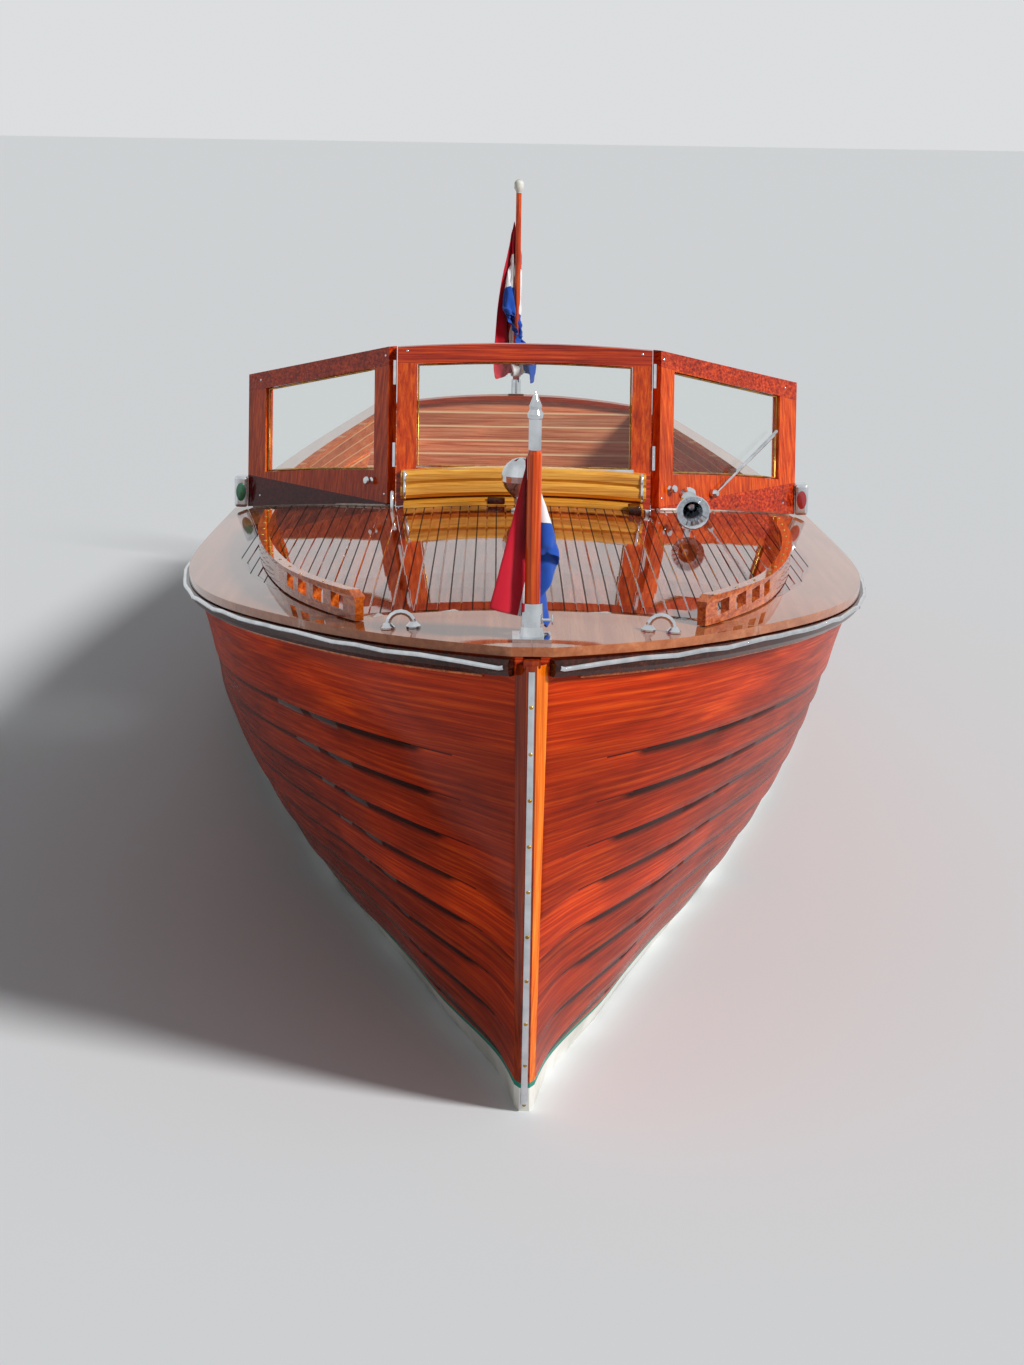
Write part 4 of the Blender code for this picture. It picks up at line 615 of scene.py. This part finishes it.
# %% [markdown]
# ## Stem band and rub rails
# A chrome band runs down the stem, held by brass screws, and takes the knocks. The band is a round bar sunk
# in the timber, because only its proud part shows. The dark rub rail under the deck's edge carries a chrome
# strip in the same way, and a slim red-brown bead closes it off below.

# %% Stem band
BAND_RADIUS, BAND_SUNK, BAND_BACK = 0.0095, 0.0095, 0.0018
stem_line = []
for z in steps(1.085, 0.02, 40):
    point, normal = ray("stem", (0, -5, z), (0, 1, 0))
    stem_line.append(Vector((0, point.y + BAND_BACK, z)))
rod("stem_band", [p + Vector((0, BAND_SUNK, 0)) for p in stem_line], BAND_RADIUS, chrome, round_steps=4)
studs("stem_band_screws", [(p + Vector((0, 0.0012 - BAND_RADIUS + BAND_SUNK, 0)), Vector((0, -1, 0.05)))
                           for p in stem_line[3::4]], 0.0050, brass, height=0.5)
# The stemhead cap takes the stem's darker copy, painted shade.
block("stemhead_cap", Vector((0, -3.592, 1.1005)), Vector((0.040, 0.040, 0.018)), stem_wood_painted_shade, bevel=0.003)

# %% Rub rail trim
def rail_rows(word, start, end, count):
    """Along a rub rail: its outermost point, its lowest height and the station."""
    rows = []
    for y in steps(start, end, count):
        cut = section(f"rub_rail_{word}", y)
        out = max(abs(p.x) for p in cut)
        flat = [p for p in cut if abs(p.x) > out - 0.0025]
        middle = sum((p.z for p in flat)) / len(flat)
        rows.append((y, out, middle, min(p.z for p in cut)))
    return rows


for side, word in SIDES:
    rows = rail_rows(word, -3.602, -3.56, 8) + rail_rows(word, -3.54, 3.43, 90)
    strip = [Vector((side * (out - 0.003), y, z)) for y, out, z, _ in rows]
    rod(f"rub_strip_{word}", strip, 0.0065, chrome)
    studs(f"rub_strip_screws_{word}", [(p + Vector((side * 0.0055, -0.001, 0)), Vector((side, -0.4, 0)))
                                       for p in strip[1::6]], 0.0042, chrome)
    bead = []
    for y, out, _, low in rows[8:]:
        point, normal = ray(f"planking_{word}", (side * 1.5, y, low - 0.004), (-side, 0, 0))
        bead.append(point + normal * 0.001)
    rod(f"rub_bead_{word}", bead, 0.0048, rail_top_wood)
print("stem band and rub rails trimmed")

# %% [markdown]
# ## Windscreen hardware
# The three frames are hinged together by chrome knuckles. Each pane sits behind a thin bright bead, the feet
# are bedded in pale sealing compound, and round-headed screws close the posts. Most of it is placed by rays
# from ahead, so it lies on the raked faces whatever their angle; the quarter-glass clamps stand at given places.

# %% Beads round the panes
X_AXIS = 0
RAKE = Matrix.Rotation(math.radians(-9), 4, "X")


def ahead_of(node, x, z, lift=0.0):
    """A point on a node's forward face, lifted off it, and the face's normal."""
    point, normal = ray(node, (x, -2.6, z), (0, 1, 0))
    return point + normal * lift, normal


def pane_bead(glass_node, name, inset=0.0035):
    box_low, box_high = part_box(glass_node)
    low_row, high_row = [], []
    for x in steps(box_low.x + inset, box_high.x - inset, 11):
        cut = section(glass_node, x, X_AXIS)
        low_row.append(ahead_of(glass_node, x, min(p.z for p in cut) + inset, 0.0015)[0])
        high_row.append(ahead_of(glass_node, x, max(p.z for p in cut) - inset, 0.0015)[0])
    rod(name, low_row + high_row[::-1], 0.0036, brass, cyclic=True, round_steps=2)


pane_bead("windscreen_centre_glass", "centre_pane_bead")
for side, word in SIDES:
    pane_bead(f"windscreen_wing_{word}_glass", f"wing_pane_bead_{word}")
    frame_node = f"windscreen_wing_{word}_frame"
    foot = []
    for x in steps(0.425, 0.895, 16):
        cut = section(frame_node, side * x, X_AXIS)
        foot.append(ahead_of(frame_node, side * x, min(p.z for p in cut) + 0.004, 0.0005)[0])
    rod(f"wing_foot_seal_{word}", foot, 0.0045, putty)

# %% Hinges, knobs and screws
HINGE_HEIGHTS = ((1.408, 1.483), (1.153, 1.228))
for side, word in SIDES:
    for k, (low, high) in enumerate(HINGE_HEIGHTS):
        ends = [ahead_of("windscreen_centre_frame", side * 0.396, z, 0.003)[0] for z in (low, high)]
        for end in ends:
            end.x = side * 0.409
        rod(f"screen_hinge_{word}_{k}", ends, 0.0052, chrome, round_steps=4)
KNOB = ((0.011, 0.0), (0.006, 0.005), (0.0065, 0.010), (0.0125, 0.014), (0.0130, 0.019), (0.0100, 0.0235),
        (0.0, 0.025))
for side, word, x, z in ((-1, "starboard", 0.484, 1.097), (1, "port", 0.466, 1.087)):
    point, normal = ahead_of(f"windscreen_wing_{word}_frame", side * x, z)
    lathe(f"screen_knob_{word}", KNOB, facing(point, normal), chrome)
posts = [(side * 0.370, z) for side in (-1, 1) for z in (1.512, 1.132, 1.112)]
studs("post_screws", [ahead_of("windscreen_centre_frame", x, z) for x, z in posts], 0.0042, chrome)
for side, word in SIDES:
    node = f"windscreen_wing_{word}_frame"
    spots = []
    for x in (0.440, 0.872):
        cut = section(node, side * x, X_AXIS)
        for z in (max(p.z for p in cut) - 0.026, min(p.z for p in cut) + 0.040):
            spots.append(ahead_of(node, side * x, z))
    studs(f"wing_screws_{word}", spots, 0.0042, chrome)
corner, _ = ahead_of("windscreen_centre_frame", 0.278, 1.146, 0.004)
block("pane_corner_bar", corner, (0.138, 0.007, 0.017), chrome, turn=RAKE)
for side, word in SIDES:
    block(f"quarter_glass_clamp_{word}", Vector((side * 0.8761, -0.075, 0.9495)), (0.034, 0.054, 0.043), chrome,
          bevel=0.006, segments=3)

# %% Side light lenses
lens_red, _ = finish("red_lens", Base_Color=linear("#a3161a"), Roughness=0.12, Coat_Weight=1.0)
lens_green, _ = finish("green_lens", Base_Color=linear("#0f6b45"), Roughness=0.12, Coat_Weight=1.0)
LENS = ((0.0165, -0.002), (0.0160, 0.004), (0.0120, 0.009), (0.0060, 0.0115), (0.0, 0.012))
for side, word, lens in ((1, "port", lens_red), (-1, "starboard", lens_green)):
    low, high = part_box(f"side_light_{word}")
    spot, _ = ahead_of(f"side_light_{word}", (low.x + high.x) / 2, (low.z + high.z) / 2)
    shape = [(r, min(h, 0.006)) if r > 0.015 else (r, h * 0.6) for r, h in LENS]
    lathe(f"side_light_lens_{word}", shape, facing(spot, (0, -1, 0)) @ Matrix.Diagonal((1.0, 1.9, 1.0, 1.0)), lens)

# %% [markdown]
# ## Vent bars and deck hardware
# Two golden bars close the vent under the centre pane, held down by chrome loops. A wedge and a chrome
# loop stand on the deck beside them; the wedge's dark wood is painted shade, and so is the small sill block's.
# The deck rails are screwed down through their tops, and the stemhead socket has a wing screw that clamps the staff.

# %% Loops, wedge and block at the vent
for k, x in enumerate((-0.372, 0.372)):
    heights = [p.z for p in section("vent_bars", x, X_AXIS)]
    run = [ahead_of("vent_bars", x, z, 0.003)[0] for z in steps(max(heights) - 0.002, min(heights) + 0.004, 8)]
    rod(f"vent_loop_{k}", run, 0.0048, chrome)


def on_deck(x, y, lift=0.0, node="foredeck_panel"):
    point, normal = ray(node, (x, y, 2.0), (0, 0, -1))
    return point + normal * lift, normal


base, _ = on_deck(-0.409, -0.955)
loop = [base + Vector((0, 0.026 * math.cos(a), 0.001 + 0.058 * math.sin(a))) for a in steps(0, math.pi, 13)]
rod("deck_loop_starboard", loop, 0.0055, chrome)
# The wedge's dark wood is painted shade beside the vent.
base, _ = on_deck(0.345, -0.985, 0.012)
block("deck_wedge_port", base, (0.040, 0.110, 0.024), dark_wood_and_painted_shade, bevel=0.006, segments=3)
base, _ = on_deck(0.385, -0.985, 0.008)
block("deck_catch_port", base, (0.020, 0.034, 0.020), chrome, bevel=0.004, segments=3)
# The sill block's dark wood is painted shade on its face.
low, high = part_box("vent_sill")
block("sill_block", Vector((-0.085, low.y - 0.002 + 0.012, high.z - 0.010)), (0.055, 0.026, 0.018), dark_wood_and_painted_shade,
      bevel=0.003)

# %% Deck rail screws and stemhead
for side, word in SIDES:
    spots = []
    rail_low, rail_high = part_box(f"deck_rail_{word}")
    for y in steps(rail_low.y + 0.03, rail_high.y - 0.03, 14):
        cut = section(f"deck_rail_{word}", y)
        top = max(p.z for p in cut)
        across = [p.x for p in cut if p.z > top - 0.002]
        spots.append(ray(f"deck_rail_{word}", (sum(across) / len(across), y, 2.0), (0, 0, -1)))
    studs(f"deck_rail_screws_{word}", spots, 0.0045, brass)
print("windscreen and deck hardware placed")
screw_from = Vector((0.023, -3.470, 1.178))
rod("staff_screw", [screw_from, screw_from + Vector((0.020, 0, 0))], 0.0035, chrome)
block("staff_screw_wing", screw_from + Vector((0.024, 0, 0)), (0.004, 0.008, 0.024), chrome, bevel=0.0015)

# %% [markdown]
# ## Staff ends
# The jackstaff ends in a turned chrome ferrule with a spiked finial, and the ensign staff in a white ball.
# Each is a profile spun round the staff's own axis, a hair wider than the wood that it covers.

# %% Ferrule and truck
FERRULE = ((0.0142, 0.424), (0.0147, 0.428), (0.0147, 0.4945), (0.0172, 0.4965), (0.0187, 0.5055), (0.0132, 0.5165),
           (0.0148, 0.5245), (0.0100, 0.5370), (0.0022, 0.5560), (0.0, 0.5570))
lathe("jackstaff_ferrule", FERRULE, Matrix.Translation((0, -3.470, 1.1468)), chrome)
ENSIGN_FOOT, ENSIGN_LEAN = Vector((0, 3.425, 0.8868)), Vector((0, 0.06, 1)).normalized()
TRUCK = ((0.0126, 0.905), (0.0132, 0.912), (0.0208, 0.924), (0.0210, 0.951), (0.0150, 0.960), (0.0066, 0.9645),
         (0.0, 0.9650))
lathe("ensign_truck", TRUCK, facing(ENSIGN_FOOT, ENSIGN_LEAN), white_paint)

# %% [markdown]
# ## Flags
# A limp flag hangs from its hoist in folds that run down from the upper corner, and no drawn curve gets them
# right. So each flag starts as a nearly flat grid that stands out from its staff, with the hoist pinned.
# Blender's Cloth lets it fall against a stand-in for the staff, and for the deck or transom below, and where
# it hangs after 70 frames is stored as plain vertices, without the modifier. Bunting is a thin open weave:
# three sewn stripes, coloured by the flat cloth's own UV. The bump's threads go by that UV too, so they are
# about 1.2 mm on the ensign and half of that on the smaller jack.

# %% Bunting
bunting, bunting_shader = finish("tricolour_bunting", Roughness=0.85, Sheen_Weight=0.3, Specular_IOR_Level=0.2)
flat_uv = add_node(bunting, "ShaderNodeUVMap", uv_map="flat")
flat_parts = add_node(bunting, "ShaderNodeSeparateXYZ", (), {0: flat_uv.outputs["UV"]})
stripes = add_node(bunting, "ShaderNodeValToRGB", (), {"Fac": flat_parts.outputs["Y"]},
                   ((0.0, linear("#1d4fae")), (0.3333, linear("#f0eff0")), (0.6667, linear("#c4122c"))))
stripes.color_ramp.interpolation = "CONSTANT"
fade = add_node(bunting, "ShaderNodeTexNoise", {"Scale": 5.0, "Detail": 3.0}, {"Vector": flat_uv.outputs["UV"]})
faded = add_node(bunting, "ShaderNodeMapRange", {1: 0.3, 2: 0.7, 3: 0.90, 4: 1.08}, {0: fade.outputs["Fac"]})
worn = add_node(bunting, "ShaderNodeHueSaturation", (), {"Value": faded.outputs[0], "Color": stripes.outputs[0]})
join(bunting, worn.outputs[0], bunting_shader.inputs["Base Color"])
threads = []
for socket, count in (("X", 560), ("Y", 370)):
    turns = add_node(bunting, "ShaderNodeMath", {1: count * math.pi}, {0: flat_parts.outputs[socket]},
                     operation="MULTIPLY")
    threads.append(add_node(bunting, "ShaderNodeMath", (), {0: turns.outputs[0]}, operation="SINE"))
weave = add_node(bunting, "ShaderNodeMath", (), {0: threads[0].outputs[0], 1: threads[1].outputs[0]},
                 operation="MULTIPLY")
weave_bump = add_node(bunting, "ShaderNodeBump", {"Strength": 0.15, "Distance": 0.0004},
                      {"Height": weave.outputs[0]})
join(bunting, weave_bump.outputs[0], bunting_shader.inputs["Normal"])

# %% Cloth simulation
CELL, STILL_FRAMES, FOLD = 0.0125, 70, 0.010


def final_mesh(obj):
    """The mesh that an object's modifiers make."""
    graph = bpy.context.evaluated_depsgraph_get()
    return bpy.data.meshes.new_from_object(obj.evaluated_get(graph), depsgraph=graph)


def run_cloth(modifier, frames):
    modifier.point_cache.frame_end = frames
    for number in range(1, frames + 1):
        bpy.context.scene.frame_set(number)


def soft_piece(mesh, name, mat):
    """A settled mesh as a piece on the hull, with one subdivision."""
    mesh.name = name
    mesh.materials.clear()
    mesh.materials.append(mat)
    mesh.shade_smooth()
    made = link(bpy.data.objects.new(name, mesh))
    fine = made.modifiers.new("smooth", "SUBSURF")
    fine.levels = fine.render_levels = 1
    return made


def collider(name, bm, thickness):
    """A stand-in that the cloth falls against, removed again after."""
    obj = object_from(bm, name)
    obj.modifiers.new("stops", "COLLISION")
    obj.collision.thickness_outer = thickness
    obj.collision.cloth_friction = 8.0
    return obj


def hang_flag(name, top, lean, hoist, fly, outward, staff_radius, block_low, block_high):
    """Lets a flat flag fall from its pinned hoist and keeps where it comes to rest."""
    down = Vector(lean).normalized()
    rod_bm = bmesh.new()
    bmesh.ops.create_cone(rod_bm, cap_ends=True, segments=16, radius1=staff_radius, radius2=staff_radius,
                          depth=hoist * 3.2, matrix=facing(top - down * hoist * 0.8, down))
    box_bm = bmesh.new()
    bmesh.ops.create_cube(box_bm, size=1.0)
    low, high = Vector(block_low), Vector(block_high)
    bmesh.ops.transform(box_bm, matrix=Matrix.Translation((low + high) / 2) @ Matrix.Diagonal((*(high - low), 1.0)),
                        verts=box_bm.verts)
    stops = [collider(f"{name}_staff_stop", rod_bm, 0.002), collider(f"{name}_block_stop", box_bm, 0.004)]
    away = Vector(outward)
    away = (away - down * away.dot(down)).normalized()
    sideways = down.cross(away)
    start = top + away * (staff_radius + 0.0035)
    columns, rows = round(fly / CELL), round(hoist / CELL)
    bm = bmesh.new()
    uv = bm.loops.layers.uv.new("flat")
    grid = [[bm.verts.new(start + away * (fly * i / columns) - down * (hoist * j / rows)
                          + sideways * (FOLD * math.sin(i * 0.55 + j * 0.20) * min(i / 4, 1.0)))
             for j in range(rows + 1)] for i in range(columns + 1)]
    for i in range(columns):
        for j in range(rows):
            face = bm.faces.new((grid[i][j], grid[i][j + 1], grid[i + 1][j + 1], grid[i + 1][j]))
            for loop, (a, b) in zip(face.loops, ((i, j), (i, j + 1), (i + 1, j + 1), (i + 1, j))):
                loop[uv].uv = (a / columns, 1.0 - b / rows)
    flag = object_from(bm, name + "_falling")
    pins = flag.vertex_groups.new(name="hoist")
    pins.add(list(range(rows + 1)), 1.0, "REPLACE")
    fall = flag.modifiers.new("fall", "CLOTH")
    cloth = fall.settings
    cloth.quality, cloth.mass, cloth.air_damping = 7, 0.15, 3.0
    cloth.tension_stiffness = cloth.compression_stiffness = 20.0
    cloth.shear_stiffness, cloth.bending_stiffness = 15.0, 0.04
    cloth.vertex_group_mass = "hoist"
    fall.collision_settings.use_self_collision = True
    fall.collision_settings.self_distance_min = fall.collision_settings.distance_min = 0.003
    fall.collision_settings.collision_quality = 3
    run_cloth(fall, STILL_FRAMES)
    rested = final_mesh(flag)
    for old in [flag] + stops:
        bpy.data.objects.remove(old)
    bpy.context.scene.frame_set(1)
    made = soft_piece(rested, name, bunting)
    thick = made.modifiers.new("thick", "SOLIDIFY")
    thick.thickness, thick.offset = 0.0009, 0.0
    spots = [v.co for v in rested.vertices]
    print(name, "hangs from", [round(min(p[k] for p in spots), 3) for k in range(3)], "to",
          [round(max(p[k] for p in spots), 3) for k in range(3)])
    return made


cap_low, cap_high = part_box("transom_cap")
ensign_top = ENSIGN_FOOT + ENSIGN_LEAN * 0.782
ensign_cloth = hang_flag("ensign_cloth", ensign_top, ENSIGN_LEAN, 0.45, 0.68, (-1.0, 0.10, 0.0), 0.0135,
                         cap_low - Vector((0, 0.1, 0.3)), cap_high)
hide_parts("ensign")
jack_top = Vector((0, -3.470, 1.562))
jack_cloth = hang_flag("jack_cloth", jack_top, (0, 0, 1), 0.24, 0.36, (-0.45, 1.0, 0.0), 0.0175,
                       Vector((-0.4, -3.7, 1.0)), Vector((0.4, -3.1, 1.140)))
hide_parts("jack_flag")

# %% [markdown]
# ## Cushions
# A seat cushion is a padded form, crowned on top and flat where it rests. Each starts as a rounded box a
# little smaller than the CAD solid's, remeshed to even cells. Cloth then blows it up from inside with gravity
# off, while a cap on each point's movement keeps it in its own space, and what lies on the bench is held. A
# low crown is added to the top after that. The piping is a cord round the top and bottom seams, and comes
# last, as remeshing would erase it. The cover is a coarse canvas: two crossing sets of threads in the bump,
# and slightly uneven dye.

# %% Canvas
canvas, canvas_shader = finish("woven_canvas", Roughness=0.9, Sheen_Weight=0.4, Specular_IOR_Level=0.15)
canvas_place = add_node(canvas, "ShaderNodeTexCoord")
dye = add_node(canvas, "ShaderNodeTexNoise", {"Scale": 9.0, "Detail": 5.0},
               {"Vector": canvas_place.outputs["Object"]})
dyed = add_node(canvas, "ShaderNodeValToRGB", (), {"Fac": dye.outputs["Fac"]},
                ((0.35, linear("#a08462")), (0.5, linear("#b59872")), (0.68, linear("#c6ab86"))))
join(canvas, dyed.outputs[0], canvas_shader.inputs["Base Color"])
THREAD_MM = 5.0265  # a wave texture repeats after 2 pi / 20 / scale metres
yarns = [add_node(canvas, "ShaderNodeTexWave", {"Scale": 100 * math.pi / THREAD_MM, "Distortion": 0.4},
                  {"Vector": canvas_place.outputs["Object"]}, bands_direction=axis) for axis in ("X", "Y")]
crossed = add_node(canvas, "ShaderNodeMath", (), {0: yarns[0].outputs["Fac"], 1: yarns[1].outputs["Fac"]},
                   operation="MAXIMUM")
canvas_bump = add_node(canvas, "ShaderNodeBump", {"Strength": 0.3, "Distance": 0.0006},
                       {"Height": crossed.outputs[0]})
join(canvas, canvas_bump.outputs[0], canvas_shader.inputs["Normal"])
piping_canvas, piping_shader = finish("piping_canvas", Base_Color=linear("#7c2a1c"), Roughness=0.8)
piping_place = add_node(piping_canvas, "ShaderNodeTexCoord")
piping_noise = add_node(piping_canvas, "ShaderNodeTexNoise", {"Scale": 400.0},
                        {"Vector": piping_place.outputs["Object"]})
piping_bump = add_node(piping_canvas, "ShaderNodeBump", {"Strength": 0.2, "Distance": 0.0005},
                       {"Height": piping_noise.outputs["Fac"]})
join(piping_canvas, piping_bump.outputs[0], piping_shader.inputs["Normal"])

# %% Padded cushions
SHRINK, SWELL_CAP, CROWN, VOXEL, SWELL_FRAMES = 0.007, 0.006, 0.004, 0.006, 20
PIPING_RADIUS, PIPING_IN, PIPING_CORNER, PIPING_TOP, PIPING_BOTTOM = 0.0028, 0.0032, 0.014, 0.0125, 0.0085


def pad_cushion(node):
    """A cushion blown up from a rounded box a little smaller than its CAD solid's, flat below."""
    low, high = (Vector(corner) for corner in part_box(node))
    centre, half = (low + high) / 2, (high - low) / 2
    bm = bmesh.new()
    bmesh.ops.create_cube(bm, size=2.0)
    for vert in bm.verts:
        vert.co = Vector([centre[k] + vert.co[k] * (half[k] - SHRINK) for k in range(3)])
        if vert.co.z < centre.z:
            vert.co.z = low.z + 0.0005
    bmesh.ops.bevel(bm, geom=bm.edges[:], offset=0.010, offset_type="OFFSET", segments=3, profile=0.5,
                    affect="EDGES", clamp_overlap=True, material=-1)
    pad = object_from(bm, node + "_small")
    even = pad.modifiers.new("even", "REMESH")
    even.mode, even.voxel_size = "VOXEL", VOXEL
    cells = final_mesh(pad)
    pad.modifiers.clear()
    pad.data = cells
    start = [v.co.copy() for v in cells.vertices]
    held = pad.vertex_groups.new(name="rests")
    held.add([k for k, p in enumerate(start) if p.z < low.z + 0.004], 1.0, "REPLACE")
    swell = pad.modifiers.new("swell", "CLOTH")
    cloth = swell.settings
    cloth.quality, cloth.mass = 4, 0.3
    cloth.tension_stiffness = cloth.compression_stiffness = 10.0
    cloth.bending_stiffness = 0.5
    cloth.vertex_group_mass = "rests"
    cloth.use_pressure, cloth.uniform_pressure_force = True, 4.0
    cloth.effector_weights.gravity = 0.0
    run_cloth(swell, SWELL_FRAMES)
    full = final_mesh(pad)
    bpy.data.objects.remove(pad)
    bpy.context.scene.frame_set(1)
    for vert, place in zip(full.vertices, start):
        move = vert.co - place
        if move.length > SWELL_CAP:
            move *= SWELL_CAP / move.length
        across = min((half[k] - abs(place[k] - centre[k])) / half[k] for k in (0, 1))
        crown = CROWN * min(across * 4, 1.0) if place.z > centre.z else 0.0
        spot = place + move + Vector((0, 0, crown))
        vert.co = Vector([min(max(spot[k], low[k] + 0.0004), high[k] - 0.0004) for k in range(3)])
    made = soft_piece(full, node + "_padded", canvas)
    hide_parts(node)
    reach = [half[k] - PIPING_IN - PIPING_CORNER for k in (0, 1)]
    for word, z in (("top", high.z - PIPING_TOP), ("bottom", low.z + PIPING_BOTTOM)):
        path = []
        for sx, sy, first in ((1, 1, 0), (-1, 1, 90), (-1, -1, 180), (1, -1, 270)):
            for k in range(5):
                turn = math.radians(first + k * 22.5)
                path.append(Vector((centre.x + sx * reach[0] + math.cos(turn) * PIPING_CORNER,
                                    centre.y + sy * reach[1] + math.sin(turn) * PIPING_CORNER, z)))
        rod(f"{node}_{word}_piping", path, PIPING_RADIUS, piping_canvas, cyclic=True)
    print(node, "padded:", len(full.polygons), "faces")


for node in ("helm_cushion", "stern_cushion"):
    pad_cushion(node)

# %% [markdown]
# ## The floor, the light and the camera
# The boat floats, so the floor lies at her waterline and the bottom is under it. A large pale floor and a
# pale world make a plain studio. A soft lamp high on the port bow gives the bright side of the photograph,
# and a much weaker one fills the starboard side. The camera stands 2.5 m over the water, 10.3 m ahead of
# midships, looks down by 12.1 degrees and is tilted by nearly one.

# %% Floor and world
floor_bm = bmesh.new()
bmesh.ops.create_grid(floor_bm, x_segments=2, y_segments=2, size=60.0)
floor = object_from(floor_bm, "floor")
floor_finish, _ = finish("pale_floor", Base_Color=linear("#e2e4e5"), Roughness=0.9, Specular_IOR_Level=0.2)
floor.data.materials.append(floor_finish)

world = bpy.data.worlds.new("studio")
world.use_nodes = True
bpy.context.scene.world = world
for old in list(world.node_tree.nodes):
    world.node_tree.nodes.remove(old)


class WorldTree:
    """Lets add_node work on the world's tree."""
    node_tree = world.node_tree


rays = add_node(WorldTree, "ShaderNodeLightPath")
seen = add_node(WorldTree, "ShaderNodeMath", (), {0: rays.outputs["Is Camera Ray"], 1: rays.outputs["Is Glossy Ray"]},
                operation="MAXIMUM")
seen_too = add_node(WorldTree, "ShaderNodeMath", (), {0: seen.outputs[0], 1: rays.outputs["Is Transmission Ray"]},
                    operation="MAXIMUM")
soft = add_node(WorldTree, "ShaderNodeBackground", {"Color": linear("#eef2f6"), "Strength": 0.22})
white = add_node(WorldTree, "ShaderNodeBackground", {"Color": linear("#e2e4e5"), "Strength": 0.94})
room = add_node(WorldTree, "ShaderNodeMixShader", (), {0: seen_too.outputs[0], 1: soft.outputs[0],
                                                      2: white.outputs[0]})
add_node(WorldTree, "ShaderNodeOutputWorld", (), {"Surface": room.outputs[0]})

# %% Lamps
LAMPS = (  # name, direction that it shines from, watts on a square metre, apparent size in degrees
    ("key", (0.85, -0.50, 0.72), 3.2, 12),
    ("fill", (-0.7, -0.55, 0.5), 0.06, 60),
)
for name, source, strength, size in LAMPS:
    lamp = bpy.data.lights.new(name, "SUN")
    lamp.energy = strength
    lamp.angle = math.radians(size)
    holder = bpy.data.objects.new(name, lamp)
    bpy.context.scene.collection.objects.link(holder)
    holder.matrix_world = Vector(source).to_track_quat("Z", "Y").to_matrix().to_4x4()

# %% Camera
CAMERA_PLACE = Vector((-0.09, -10.33, 2.5))
PITCH, YAW, ROLL = math.radians(12.1), math.radians(0.387), math.radians(0.9)
FOCUS_PIXELS, FRAME_PIXELS, SENSOR = 3037.0, 1365.0, 36.0
ahead = Vector((math.sin(YAW) * math.cos(PITCH), math.cos(YAW) * math.cos(PITCH), -math.sin(PITCH)))
right = Vector((math.cos(YAW), -math.sin(YAW), 0.0))
over = right.cross(ahead)
right_rolled = right * math.cos(ROLL) + over * math.sin(ROLL)
over_rolled = over * math.cos(ROLL) - right * math.sin(ROLL)
camera_data = bpy.data.cameras.new("camera")
camera_data.sensor_width = SENSOR
camera_data.lens = FOCUS_PIXELS / FRAME_PIXELS * SENSOR
camera = bpy.data.objects.new("camera", camera_data)
bpy.context.scene.collection.objects.link(camera)
turn = Matrix((right_rolled, over_rolled, -ahead)).transposed().to_4x4()
camera.matrix_world = Matrix.Translation(CAMERA_PLACE) @ turn
bpy.context.scene.camera = camera
bpy.context.scene.view_settings.view_transform = "Standard"
